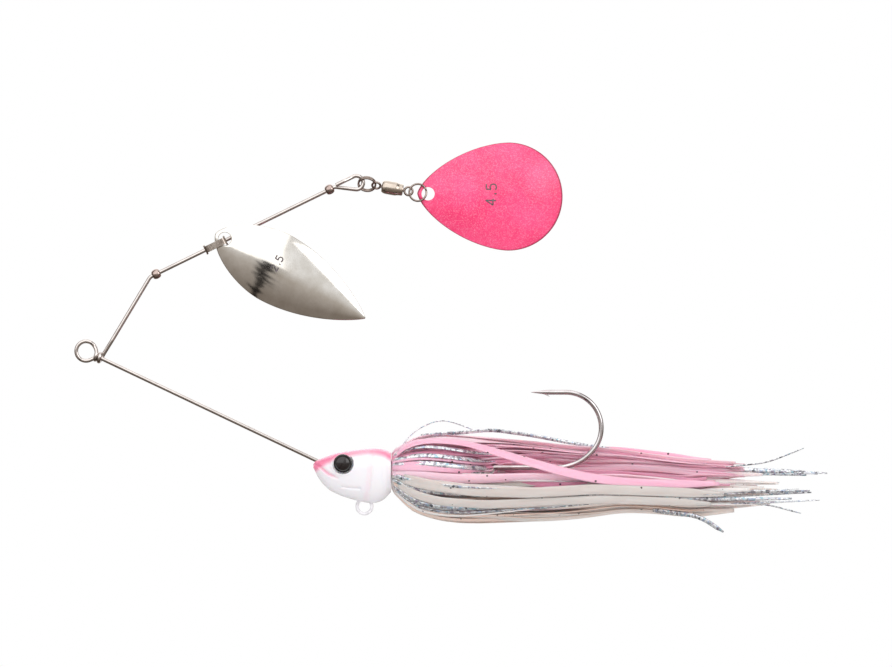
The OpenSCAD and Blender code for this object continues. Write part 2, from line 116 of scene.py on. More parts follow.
def smooth_step(t):
    """0 below 0, 1 above 1, and 3t^2 - 2t^3 between."""
    t = np.clip(t, 0, 1)
    return t * t * (3 - 2 * t)


def set_out(points, origin, slope, turn=0.0):
    """Points (along, across, up) put at origin (x, z), turned about their own length and then
    laid at a slope above +X."""
    a, b, c = np.moveaxis(np.asarray(points, float), -1, 0)
    ct, st = math.cos(math.radians(turn)), math.sin(math.radians(turn))
    b, c = b * ct - c * st, b * st + c * ct
    cs, ss = heading(slope)
    return np.stack([origin[0] + a * cs - c * ss, b, origin[1] + a * ss + c * cs], -1)


# ------------------------------------------------------------------ paths

def even(points, step):
    """The same polyline with points an even step apart, read off by linear interpolation along
    its running length. Columns past the third are carried along."""
    points = np.asarray(points, float)
    run = np.concatenate([[0], np.cumsum(np.linalg.norm(np.diff(points[:, :3], axis=0), axis=1))])
    keep = np.concatenate([[True], np.diff(run) > 1e-9])
    run, points = run[keep], points[keep]
    at = np.linspace(0, run[-1], max(2, int(round(run[-1] / step)) + 1))
    return np.stack([np.interp(at, run, points[:, k]) for k in range(points.shape[1])], -1)


def curve_between(p0, d0, p1, d1, count=24):
    """Cubic Hermite curve from p0 heading d0 to p1 heading d1."""
    t = np.linspace(0, 1, count)[:, None]
    return ((2 * t**3 - 3 * t**2 + 1) * p0 + (t**3 - 2 * t**2 + t) * d0
            + (-2 * t**3 + 3 * t**2) * p1 + (t**3 - t**2) * d1)


def softened(points, window):
    """Each point replaced by the mean of its neighbours within the window, ends held."""
    pad = window // 2
    wide = np.concatenate([np.repeat(points[:1], pad, 0), points, np.repeat(points[-1:], pad, 0)])
    kernel = np.ones(2 * pad + 1) / (2 * pad + 1)
    return np.stack([np.convolve(wide[:, k], kernel, "valid") for k in range(points.shape[1])], -1)


class Wire:
    """A plane run of straight lengths and round bends, each laid at the last one's end."""

    def __init__(self, start, degrees):
        self.at, self.turned, self.points = np.array(start, float), degrees, [np.array(start, float)]

    def straight(self, length):
        self.at = self.at + length * heading(self.turned)
        self.points.append(self.at)
        return self

    def bend(self, radius, angle):
        """Arc of that radius; the place is centre + radius times the heading a quarter turn off."""
        side = math.copysign(1, angle)
        centre = self.at + radius * heading(self.turned + 90 * side)
        steps = self.turned - 90 * side + np.linspace(0, angle, max(3, int(abs(angle) / 3)))[1:]
        self.points += [centre + radius * heading(a) for a in steps]
        self.at, self.turned = self.points[-1], self.turned + angle
        return self

    def path(self):
        return np.array(self.points)


# ------------------------------------------------------------------ surfaces

def tube(path, radius, across=ACROSS, sides=20, depth=1.0, power=1.0):
    """A round or oval section carried along a path: place = path + r (cos a n + depth sin a b).
    n is the reference across made square to the path, and b is square to both. A power under 1
    squares the section off."""
    path = np.asarray(path, float)
    t = unit(np.gradient(path, axis=0))
    ref = np.broadcast_to(across, path.shape)
    n = unit(ref - (ref * t).sum(1, keepdims=True) * t)
    b = np.cross(t, n)
    a = np.arange(sides) * TAU / sides
    ca, sa = np.cos(a), np.sin(a)
    ca, sa = np.sign(ca) * abs(ca) ** power, np.sign(sa) * abs(sa) ** power
    depth = np.broadcast_to(depth, len(path))[:, None, None]
    ring = ca[None, :, None] * n[:, None] + depth * sa[None, :, None] * b[:, None]
    return path[:, None] + np.broadcast_to(radius, len(path))[:, None, None] * ring


def turned(profile, sides=64):
    """A profile (distance along, radius) turned about the first axis: place = (along,
    r cos a, r sin a)."""
    profile = np.asarray(profile, float)
    a = np.arange(sides) * TAU / sides
    along = np.broadcast_to(profile[:, :1], (len(profile), sides))
    return np.stack([along, profile[:, 1:] * np.cos(a), profile[:, 1:] * np.sin(a)], -1)


def rounded(corners, radius, steps=5):
    """A profile with each inner corner rounded by a quadratic curve that starts radius before it
    and ends radius after it."""
    corners = np.asarray(corners, float)
    out = [corners[:1]]
    t = np.linspace(0, 1, steps)[:, None]
    for before, corner, after in zip(corners, corners[1:], corners[2:]):
        a = corner + unit(before - corner) * min(radius, np.linalg.norm(before - corner) * 0.45)
        b = corner + unit(after - corner) * min(radius, np.linalg.norm(after - corner) * 0.45)
        out.append((1 - t) ** 2 * a + 2 * t * (1 - t) * corner + t ** 2 * b)
    out.append(corners[-1:])
    return np.concatenate(out)


def shell(grid, rows_join=False, caps=True, tint=None, lengthwise=None):
    """A grid of places (rows, columns, 3), whose columns run round, as vertices and faces that
    point outwards: columns are reversed where the enclosed volume is negative. Rows join end to
    start for a ring; otherwise each end closes on a point at the middle of its row. tint is a
    number for each place. lengthwise is each row's distance along the piece, which with the
    distance round becomes the UV."""
    rows, cols = grid.shape[:2]
    index = np.arange(rows * cols).reshape(rows, cols)
    below = np.concatenate([index, index[:1]]) if rows_join else index
    wide = np.concatenate([below, below[:, :1]], 1)
    quads = np.stack([wide[:-1, :-1], wide[:-1, 1:], wide[1:, 1:], wide[1:, :-1]], -1)
    verts = grid.reshape(-1, 3)
    p = verts[quads.reshape(-1, 4)] - verts.mean(0)
    volume = (p[:, 0] * np.cross(p[:, 1], p[:, 2])).sum() + (p[:, 0] * np.cross(p[:, 2], p[:, 3])).sum()
    if volume < 0 and len(verts):
        tint = None if tint is None else np.asarray(tint, float).reshape(rows, cols)[:, ::-1]
        return shell(grid[:, ::-1], rows_join, caps, tint, lengthwise)
    tint = np.zeros(len(verts)) if tint is None else np.asarray(tint, float).reshape(-1)
    run = np.arange(rows) if lengthwise is None else lengthwise
    around = np.linalg.norm(np.roll(grid, -1, 1) - grid, axis=2).mean(0)
    v = np.concatenate([[0], np.cumsum(around)])
    u = np.concatenate([run, [run[-1] + run[1] - run[0]]])
    r, c = np.meshgrid(np.arange(len(wide) - 1), np.arange(cols), indexing="ij")
    uv = np.stack([np.stack([u[r + i], v[c + j]], -1) for i, j in ((0, 0), (0, 1), (1, 1), (1, 0))], 2)
    faces, face_uv = [quads.reshape(-1, 4)], [uv.reshape(-1, 4, 2)]
    if caps and not rows_join:
        ends = []
        for row, first, at in ((0, 1, 0), (-1, 0, rows - 1)):
            middle = len(verts)
            verts = np.concatenate([verts, grid[row].mean(0)[None]])
            tint = np.concatenate([tint, tint.reshape(-1)[at * cols:at * cols + 1]])
            a, b = index[row], np.roll(index[row], -1)
            pair = (b, a) if first else (a, b)
            ends.append(np.stack([np.full(cols, middle), *pair], -1))
        faces.append(np.concatenate(ends))
        face_uv.append(np.zeros((2 * cols, 3, 2)))
    return {"verts": verts, "faces": faces, "uv": face_uv, "tint": tint}


def piece(name, shells, material, body, nodes=(), slot=None):
    """Writes shells as one smooth mesh in metres, with its UV map and tint attribute, parents it
    to its body's empty and hides the CAD nodes it replaces."""
    verts, faces, uvs, start = [], [], [], 0
    for one in shells:
        verts.append(one["verts"])
        for block, uv in zip(one["faces"], one["uv"]):
            faces += (block + start).tolist()
            uvs.append(uv.reshape(-1, 2))
        start += len(one["verts"])
    mesh = bpy.data.meshes.new(name)
    mesh.from_pydata((np.concatenate(verts) * MM).tolist(), [], faces)
    layer = mesh.uv_layers.new(name="UVMap")
    layer.data.foreach_set("uv", (np.concatenate(uvs) * MM).astype(np.float32).ravel())
    tint = mesh.attributes.new("tint", "FLOAT", "POINT")
    tint.data.foreach_set("value", np.concatenate([s["tint"] for s in shells]).astype(np.float32))
    mesh.polygons.foreach_set("use_smooth", np.ones(len(mesh.polygons), bool))
    mesh.update()
    thing = bpy.data.objects.new(name, mesh)
    bpy.context.scene.collection.objects.link(thing)
    mesh.materials.append(material)
    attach(thing, body)
    if nodes:
        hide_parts(*nodes)
    return thing


# ------------------------------------------------------------------ materials

def linear(code):
    """sRGB hex code as linear red, green, blue and 1. A colour property is linear already."""
    if not isinstance(code, str):
        return (*code, 1.0)
    srgb = np.array([int(code[i:i + 2], 16) for i in (1, 3, 5)]) / 255
    flat = np.where(srgb <= 0.04045, srgb / 12.92, ((srgb + 0.055) / 1.055) ** 2.4)
    return (*flat.tolist(), 1.0)


def add_node(tree, kind, links=(), values=(), stops=(), constant=False, **settings):
    """Adds a node. Settings are the node's own or, where it has none of that name, an input's;
    values are (input, value) and links (source socket, input), an input by name or number;
    stops are a colour ramp's (place, hex)."""
    node = tree.nodes.new(kind)
    if stops:
        node.color_ramp.interpolation = "CONSTANT" if constant else "LINEAR"
        elements = node.color_ramp.elements
        while len(elements) < len(stops):
            elements.new(0.5)
        for element, (place, code) in zip(elements, stops):
            element.position, element.color = place, linear(code)
    for key, value in settings.items():
        if hasattr(node, key):
            setattr(node, key, value)
        else:
            node.inputs[key.replace("_", " ")].default_value = value
    for target, value in values:
        node.inputs[target].default_value = value
    for source, target in links:
        tree.links.new(source, node.inputs[target])
    return node


def new_material(name, **shader):
    """A material whose Principled shader's own sockets hold the values given."""
    material = bpy.data.materials.new(name)
    material.use_nodes = True
    tree = material.node_tree
    principled = tree.nodes["Principled BSDF"]
    for key, value in shader.items():
        principled.inputs[key.replace("_", " ")].default_value = value
    return material, tree, principled


def feed(tree, principled, **sources):
    """Links sources to the shader's sockets, each named with _ for a space."""
    for key, source in sources.items():
        tree.links.new(source, principled.inputs[key.replace("_", " ")])


def per_mm(count):
    """Scale of a pattern on metre coordinates that repeats count times each millimetre."""
    return count / MM


def metal(name, codes, roughness, grain_per_mm, grain_mm, stretch=(1, 1, 1), spread=0.06):
    """Bare metal: colour between two hex codes and roughness vary with soft noise, and fine
    grain stretched along the working direction gives the bump."""
    material, tree, principled = new_material(name, Metallic=1.0, Roughness=roughness)
    where = add_node(tree, "ShaderNodeTexCoord").outputs["Object"]
    mottle = add_node(tree, "ShaderNodeTexNoise", [(where, "Vector")],
                      Scale=per_mm(0.35), Detail=3.0, Roughness=0.6)
    colour = add_node(tree, "ShaderNodeValToRGB", [(mottle.outputs["Fac"], "Fac")],
                      stops=[(0.3, codes[0]), (0.7, codes[1])])
    feed(tree, principled, Base_Color=colour.outputs["Color"])
    wear = add_node(tree, "ShaderNodeMapRange", [(mottle.outputs["Fac"], "Value")],
                    [("To Min", max(0.02, roughness - spread)), ("To Max", roughness + spread)])
    pulled = add_node(tree, "ShaderNodeMapping", [(where, "Vector")], Scale=stretch)
    grain = add_node(tree, "ShaderNodeTexNoise", [(pulled.outputs["Vector"], "Vector")],
                     Scale=per_mm(grain_per_mm), Detail=2.0)
    bump = add_node(tree, "ShaderNodeBump", [(grain.outputs["Fac"], "Height")],
                    Distance=grain_mm * MM)
    feed(tree, principled, Roughness=wear.outputs["Result"], Normal=bump.outputs["Normal"])
    return material


def drawn_wire():
    # Stainless spring wire, drawn through dies: bright, with faint lines along it.
    return metal("stainless spring wire, drawn bright", ("#C8C0BC", "#DDD6D2"), 0.13, 3, 0.0006)


def tumbled_wire():
    # Stainless wire of rings and swivel eyes, tumbled: darker and browner than the frame.
    return metal("stainless wire, tumbled", ("#8B7C74", "#B3A69E"), 0.2, 3, 0.0015)


def plated_brass():
    # Brass turned and nickel plated: warm silver, polished but not a mirror.
    return metal("nickel plated brass, polished", ("#BDB0A3", "#DCD2C6"), 0.2, 4, 0.004,
                 stretch=(4, 1, 1))


def bead_plate():
    # Brass beads, barrel plated: a deep warm mirror with a dark rim.
    return metal("nickel plated brass, barrel finished", ("#9E8B84", "#C0AEA7"), 0.14, 3, 0.001)


def buffed_blade():
    # Stamped brass, nickel plated and buffed: a near mirror with buffing lines along the blade.
    return metal("nickel plated brass, mirror buffed", ("#D9D4CC", "#EBE8E3"), 0.1, 2.5, 0.0006,
                 stretch=(0.25, 1, 1), spread=0.025)


def hook_steel():
    # High carbon steel, chemically sharpened and tinned: bright, a little cold.
    return metal("high carbon steel, bright tin", ("#BDB6B6", "#D6D1D2"), 0.13, 3, 0.0008)


def folded_strip():
    # Brass strip, folded and nickel plated: satin, darker in its bends.
    return metal("nickel plated brass strip, folded", ("#9C8F86", "#C8BFB6"), 0.24, 5, 0.005)


def lapped_steel():
    # Hardened chrome steel bearing balls, lapped.
    return metal("chrome steel, lapped", ("#C6C7CA", "#DADBDD"), 0.08, 8, 0.001)


def blade_lacquer(colours):
    """Baked pink lacquer over brass with fine mica: flakes a sixth of a millimetre wide lighten
    the colour and vary the gloss, and the colour darkens to a line along the rim, marked by
    tint."""
    # Lacquer is soft and satin, and its mica gives a pale sheen under a broad light.
    material, tree, principled = new_material(
        "baked lacquer on brass, hot pink with mica", Roughness=0.36,
        Coat_Weight=0.25, Coat_Roughness=0.2)
    where = add_node(tree, "ShaderNodeTexCoord").outputs["Object"]
    cloud = add_node(tree, "ShaderNodeTexNoise", [(where, "Vector")],
                     Scale=per_mm(0.12), Detail=4.0, Roughness=0.62)
    base = add_node(tree, "ShaderNodeValToRGB", [(cloud.outputs["Fac"], "Fac")],
                    stops=[(0.32, colours.blade_deep), (0.68, colours.blade_bright)])
    flake = add_node(tree, "ShaderNodeTexVoronoi", [(where, "Vector")], Scale=per_mm(6.0))
    glint = add_node(tree, "ShaderNodeSeparateColor", [(flake.outputs["Color"], "Color")])
    lit = add_node(tree, "ShaderNodeMapRange", [(glint.outputs["Red"], "Value")],
                   [("From Min", 0.6), ("To Max", 0.35)])
    mica = add_node(tree, "ShaderNodeMix", [(lit.outputs["Result"], 0), (base.outputs["Color"], 6)],
                    [(7, linear(colours.blade_mica))], data_type="RGBA")
    edge = add_node(tree, "ShaderNodeAttribute", attribute_name="tint")
    # The colour darkens to blade_rim along the rim, where tint is 1.
    rim = add_node(tree, "ShaderNodeMix", [(edge.outputs["Fac"], 0), (mica.outputs[2], 6)],
                   [(7, linear(colours.blade_rim))], data_type="RGBA")
    feed(tree, principled, Base_Color=rim.outputs[2])
    dull = add_node(tree, "ShaderNodeMapRange", [(glint.outputs["Green"], "Value")],
                    [("To Min", 0.28), ("To Max", 0.46)])
    bump = add_node(tree, "ShaderNodeBump", [(flake.outputs["Distance"], "Height")],
                    Distance=0.01 * MM, Strength=0.5)
    feed(tree, principled, Roughness=dull.outputs["Result"], Normal=bump.outputs["Normal"])
    return material


def mottled(name, stops, scale, detail, relief=0.0, **shader):
    """Soft noise mottles the colour between hex stops, and relief millimetres of bump follow it."""
    material, tree, principled = new_material(name, **shader)
    where = add_node(tree, "ShaderNodeTexCoord").outputs["Object"]
    noise = add_node(tree, "ShaderNodeTexNoise", [(where, "Vector")], Scale=per_mm(scale), Detail=detail)
    colour = add_node(tree, "ShaderNodeValToRGB", [(noise.outputs["Fac"], "Fac")], stops=stops)
    feed(tree, principled, Base_Color=colour.outputs["Color"])
    if relief:
        bump = add_node(tree, "ShaderNodeBump", [(noise.outputs["Fac"], "Height")],
                        Distance=relief * MM, Strength=0.5)
        feed(tree, principled, Normal=bump.outputs["Normal"])
    return material


def ink(colours):
    # Pad printing ink: a matt thin film, a little broken where the pad lifted.
    return mottled("pad printing ink, dark grey", [(0.35, colours.ink), (0.75, colours.ink_worn)],
                   3, 2.0, Roughness=0.5)


def painted_wire(colours):
    # White powder paint on a small wire ring: thick, soft and glossy, grey where it lies thin.
    return mottled("steel wire, white powder paint",
                   [(0.3, colours.wire_shade), (0.6, colours.head_white)], 1.1, 3.0, 0.03,
                   Roughness=0.35, Coat_Weight=0.4, Coat_Roughness=0.1)


def band_rubber(colours):
    # Natural rubber band, dyed and moulded: matt, with a fine grain.
    return mottled("natural rubber, moulded", [(0.3, colours.band_deep), (0.7, colours.band)],
                   3, 4.0, 0.04, Roughness=0.62)


def pale_floor():
    # Seamless background paper: matt and almost white, with the faintest grain.
    return mottled("background paper, matt white", [(0.3, "#EDEDEE"), (0.7, "#F4F4F5")],
                   0.5, 3.0, Roughness=0.9)


def head_paint(colours):
    """Pearl white powder paint with an airbrushed pink back: tint is how much pink lies on a
    place, its edge broken up by noise as fine spray is, under a clear coat with a faint orange
    peel. Tint also carries a faint band of painted shade along the gill step."""
    # Powder paint over lead levels to a deep gloss, and mica in the white gives it a cool pearl.
    material, tree, principled = new_material(
        "cast lead, pearl powder paint, clear coated", Roughness=0.32,
        Coat_Weight=0.7, Coat_Roughness=0.08, Subsurface_Weight=0.08, Subsurface_Scale=0.6 * MM)
    where = add_node(tree, "ShaderNodeTexCoord").outputs["Object"]
    spray = add_node(tree, "ShaderNodeTexNoise", [(where, "Vector")], Scale=per_mm(2.2), Detail=4.0)
    mist = add_node(tree, "ShaderNodeMapRange", [(spray.outputs["Fac"], "Value")],
                    [("To Min", -0.07), ("To Max", 0.07)])
    pink = add_node(tree, "ShaderNodeAttribute", attribute_name="tint")
    laid = add_node(tree, "ShaderNodeMath", [(pink.outputs["Fac"], 0), (mist.outputs["Result"], 1)],
                    operation="ADD")
    colour = add_node(tree, "ShaderNodeValToRGB", [(laid.outputs["Value"], "Fac")],
                      stops=[(0.04, colours.head_white), (0.45, colours.head_blush),
                             (0.95, colours.head_pink)])
    feed(tree, principled, Base_Color=colour.outputs["Color"])
    peel = add_node(tree, "ShaderNodeTexNoise", [(where, "Vector")], Scale=per_mm(0.9), Detail=1.0)
    bump = add_node(tree, "ShaderNodeBump", [(peel.outputs["Fac"], "Height")],
                    Distance=0.02 * MM, Strength=0.6)
    feed(tree, principled, Normal=bump.outputs["Normal"])
    return material


def moulded_eye(colours):
    """Black moulded eye: tint is 1 on the pupil's disc and 0 on the rim."""
    # Polystyrene from a polished mould: black and wet looking.
    material, tree, principled = new_material(
        "polystyrene, moulded black, glossy", Specular_IOR_Level=0.35, Roughness=0.16,
        Coat_Weight=0.5, Coat_Roughness=0.03)
    disc = add_node(tree, "ShaderNodeAttribute", attribute_name="tint")
    where = add_node(tree, "ShaderNodeTexCoord").outputs["Object"]
    dust = add_node(tree, "ShaderNodeTexNoise", [(where, "Vector")], Scale=per_mm(4), Detail=3.0)
    blend = add_node(tree, "ShaderNodeMath",
                     [(disc.outputs["Fac"], 0), (dust.outputs["Fac"], 1)], operation="MULTIPLY")
    colour = add_node(tree, "ShaderNodeValToRGB", [(blend.outputs["Value"], "Fac")],
                      stops=[(0.0, colours.eye_rim), (0.9, colours.eye_disc)])
    feed(tree, principled, Base_Color=colour.outputs["Color"])
    return material


def silicone(name, codes, fleck, fleck_share, gloss=0.34):
    """Cut silicone sheet: each strand's own shade comes from tint, streaks run along it, and
    round flecks lie 2 mm apart, in the share of cells given."""
    material, tree, principled = new_material(
        name, Roughness=gloss, Subsurface_Weight=0.35, Subsurface_Scale=1.2 * MM,
        Subsurface_Radius=(1.0, 0.6, 0.5), Specular_IOR_Level=0.5, IOR=1.43)
    where = add_node(tree, "ShaderNodeTexCoord")
    shade = add_node(tree, "ShaderNodeAttribute", attribute_name="tint")
    drawn = add_node(tree, "ShaderNodeMapping", [(where.outputs["UV"], "Vector")], Scale=(0.1, 1, 1))
    streak = add_node(tree, "ShaderNodeTexNoise", [(drawn.outputs["Vector"], "Vector")],
                      Scale=per_mm(1.2), Detail=3.0)
    part = add_node(tree, "ShaderNodeMapRange", [(streak.outputs["Fac"], "Value")],
                    [("To Min", -0.22), ("To Max", 0.22)])
    total = add_node(tree, "ShaderNodeMath", [(shade.outputs["Fac"], 0), (part.outputs["Result"], 1)],
                     operation="ADD")
    colour = add_node(tree, "ShaderNodeValToRGB", [(total.outputs["Value"], "Fac")],
                      stops=[(k / (len(codes) - 1), code) for k, code in enumerate(codes)])
    cells = add_node(tree, "ShaderNodeTexVoronoi", [(where.outputs["Object"], "Vector")],
                     Scale=per_mm(0.5))
    pick = add_node(tree, "ShaderNodeSeparateColor", [(cells.outputs["Color"], "Color")])
    chosen = add_node(tree, "ShaderNodeMath", [(pick.outputs["Red"], 0)], [(1, fleck_share)],
                      operation="LESS_THAN")
    dot = add_node(tree, "ShaderNodeMapRange", [(cells.outputs["Distance"], "Value")],
                   [("From Min", 0.1), ("From Max", 0.14), ("To Min", 1.0), ("To Max", 0.0)])
    speck = add_node(tree, "ShaderNodeMath",
                     [(dot.outputs["Result"], 0), (chosen.outputs["Value"], 1)],
                     operation="MULTIPLY")
    mixed = add_node(tree, "ShaderNodeMix", [(speck.outputs["Value"], 0), (colour.outputs["Color"], 6)],
                     [(7, linear(fleck))], data_type="RGBA")
    feed(tree, principled, Base_Color=mixed.outputs[2])
    bump = add_node(tree, "ShaderNodeBump", [(streak.outputs["Fac"], "Height")],
                    Distance=0.05 * MM, Strength=0.6)
    feed(tree, principled, Normal=bump.outputs["Normal"])
    return material


def flash_film():
    """Silicone with holographic flake: square flakes half a millimetre wide, each with its own
    colour and tilt, in a clear grey strand."""
    # Flake facets catch the light one by one, from white through blue and teal to dark.
    material, tree, principled = new_material(
        "silicone with holographic flake", Metallic=0.6, Roughness=0.24,
        Coat_Weight=0.6, Coat_Roughness=0.1)
    where = add_node(tree, "ShaderNodeTexCoord")
    flakes = add_node(tree, "ShaderNodeTexVoronoi", [(where.outputs["UV"], "Vector")],
                      Scale=per_mm(1.7))
    pick = add_node(tree, "ShaderNodeSeparateColor", [(flakes.outputs["Color"], "Color")])
    colour = add_node(tree, "ShaderNodeValToRGB", [(pick.outputs["Red"], "Fac")],
                      stops=[(0.0, "#A5A2AA"), (0.12, "#D5D7DE"), (0.3, "#F2F4F8"), (0.48, "#B7C3DA"),
                             (0.56, "#DDE6EA"), (0.7, "#9FC3CF"), (0.76, "#EEF0F2"),
                             (0.88, "#A79DB0"), (0.96, "#6A6D75")], constant=True)
    feed(tree, principled, Base_Color=colour.outputs["Color"])
    dull = add_node(tree, "ShaderNodeMapRange", [(pick.outputs["Green"], "Value")],
                    [("To Min", 0.08), ("To Max", 0.42)])
    bump = add_node(tree, "ShaderNodeBump", [(pick.outputs["Blue"], "Height")],
                    Distance=0.12 * MM, Strength=0.8)
    feed(tree, principled, Roughness=dull.outputs["Result"], Normal=bump.outputs["Normal"])
    return material


# ------------------------------------------------------------------ sizes and colours

def length_mm(name, description, default, low=0.05):
    """A length property, given here in millimetres."""
    return bpy.props.FloatProperty(name=name, description=description, default=default * MM,
                                   min=low * MM, precision=5, subtype="DISTANCE", unit="LENGTH")


def angle(name, description, default):
    """An angle property, given here in degrees."""
    return bpy.props.FloatProperty(name=name, description=description,
                                   default=math.radians(default), subtype="ANGLE", unit="ROTATION")


def hex_colour(name, description, default):
    """A colour property, given here as an sRGB hex code."""
    return bpy.props.FloatVectorProperty(name=name, description=description, size=3, min=0.0,
                                         max=1.0, subtype="COLOR", default=linear(default)[:3])


def in_mm(group):
    """A group's sizes as plain numbers: lengths in millimetres and angles in degrees."""
    scale = {"LENGTH": 1 / MM, "ROTATION": math.degrees(1), "NONE": 1.0}
    return SimpleNamespace(**{
        key: getattr(group, key) * scale[made.unit] for key, made in group.bl_rna.properties.items()
        if key not in ("rna_type", "name")})


class LureWireSizes(bpy.types.PropertyGroup):
    """Sizes of the wire frame, its rings and its swivel."""
    wire_d: length_mm("Frame wire", "Diameter of the frame's wire", 0.9)
    eye_r: length_mm("Line tie", "Inside radius of the line tie's eye", 1.7)
    wrap_turns: bpy.props.FloatProperty(
        name="Wrap turns", description="Turns of the wrap below the line tie", default=1.5, min=1)
    riser_bend_r: length_mm("Riser bend", "Radius of the bend above the riser", 1.6)
    apex_bend_r: length_mm("Apex bend", "Radius of the bend before the end loop", 1.0)
    loop_r: length_mm("End loop", "Radius of the end loop's round end", 1.5)
    loop_side: length_mm("Loop side", "Length of the end loop's lower side", 4.6)
    ring_d: length_mm("Split rings", "Outer diameter of the split rings", 4.2)
    ring_wire_d: length_mm("Ring wire", "Wire of the split rings", 0.45)
    ring_turn: angle("Front ring turn", "Turn of the front ring about its length", 42.0)
    swivel_slope: angle("Swivel slope", "Slope of the swivel below level", 10.0)
    barrel_d: length_mm("Barrel", "Diameter of the swivel's barrel", 3.0)
    barrel_length: length_mm("Barrel length", "Length of the swivel's barrel", 4.8)
    bead_d: length_mm("Beads", "Diameter of the beads", 2.2)
    bead_length: length_mm("Bead length", "Length of the beads", 1.9)


class LureBladeSizes(bpy.types.PropertyGroup):
    """Sizes of the two blades."""
    thick: length_mm("Thickness", "Thickness of both blades", 0.5)
    hole_r: length_mm("Hole", "Radius of each blade's hole", 1.45)
    hole_edge: length_mm("Hole to edge", "From the hole's centre to the blade's front edge", 2.4)
    willow_length: length_mm("Willow length", "Length of the willow blade", 38.0)
    willow_width: length_mm("Willow width", "Width of the willow blade", 15.8)
    willow_cup: length_mm("Willow cup", "Depth of the willow blade's cup", 1.8)
    willow_slope: angle("Willow slope", "Slope of the willow blade below level", 29.5)
    colorado_length: length_mm("Colorado length", "Length of the Colorado blade", 32.0)
    colorado_width: length_mm("Colorado width", "Width of the Colorado blade", 23.8)
    colorado_cup: length_mm("Colorado cup", "Depth of the Colorado blade's cup", 3.4)
    colorado_slope: angle("Colorado slope", "Slope of the Colorado blade below level", 2.0)


class LureBodySizes(bpy.types.PropertyGroup):
    """Sizes of the head, hook and skirt."""
    head_length: length_mm("Head length", "Length of the head, nose to rear face", 17.1)
    head_width: length_mm("Head width", "Thickness of the head, side to side", 10.4)
    eyelet_d: length_mm("Eyelet", "Outer diameter of the belly eyelet", 4.0)
    eyelet_wire_d: length_mm("Eyelet wire", "Wire of the belly eyelet", 0.75)
    hook_wire_d: length_mm("Hook wire", "Diameter of the hook's wire", 1.15)
    shank_length: length_mm("Shank", "Length of the hook's shank behind the head", 36.4)
    bend_wide_r: length_mm("Wide bend", "Radius of the bend's first part", 10.5)
    bend_tight_r: length_mm("Tight bend", "Radius of the bend's second part", 7.8)
    spear: length_mm("Spear", "Length between the bend and the point's taper", 3.5)
    point: length_mm("Point", "Length of the tapered point", 4.2)
    strand_width: length_mm("Strand width", "Width of a skirt strand", 1.35)
    strand_thick: length_mm("Strand thickness", "Thickness of a skirt strand", 0.36)
    skirt_length: length_mm("Skirt length", "From the head's rear to the main strands' tips", 76.0)


class LureColours(bpy.types.PropertyGroup):
    """Colours of the painted, lacquered and moulded pieces."""
    blade_deep: hex_colour("Blade, deep", "Darker parts of the pink lacquer", "#F22E6C")
    blade_bright: hex_colour("Blade, bright", "Brighter parts of the pink lacquer", "#FF4C86")
    blade_mica: hex_colour("Blade, mica", "Mica flakes in the lacquer", "#FFB4CC")
    # Blade, rim is the colour of the darker line along the Colorado blade's rim.
    blade_rim: hex_colour("Blade, rim", "Thin lacquer at the rim", "#A81F49")
    ink: hex_colour("Ink", "Printed size numbers", "#4A4548")
    ink_worn: hex_colour("Ink, worn", "Printed size numbers where thin", "#7A6E74")
    head_white: hex_colour("Head, white", "Pearl white of the head", "#F0EEF2")
    # Head, blush is also mixed faintly into the painted shade along the gill step.
    head_blush: hex_colour("Head, blush", "Edge of the sprayed pink", "#F9C4D4")
    head_pink: hex_colour("Head, pink", "Pink of the head's back", "#F587AA")
    eye_rim: hex_colour("Eye, rim", "Rim of the eyes", "#0A0909")
    eye_disc: hex_colour("Eye, disc", "Disc inside the eyes' rim", "#241C1C")
    wire_shade: hex_colour("Eyelet, thin paint", "Thin paint on the eyelet", "#D4D2D6")
    band_deep: hex_colour("Band, deep", "Darker parts of the rubber band", "#7E3E52")
    band: hex_colour("Band", "Rubber band", "#9C5068")

# ------------------------------------------------------------------ wire, rings and beads


def by_tie(u, v, y):
    """Place at u along the lower arm, v square to it in the frame's plane, and y across."""
    a = math.radians(LOWER)
    u, v, y = np.broadcast_arrays(np.asarray(u, float), v, y)
    return np.stack([u * math.cos(a) + v * math.sin(a), y, -u * math.sin(a) + v * math.cos(a)], -1)


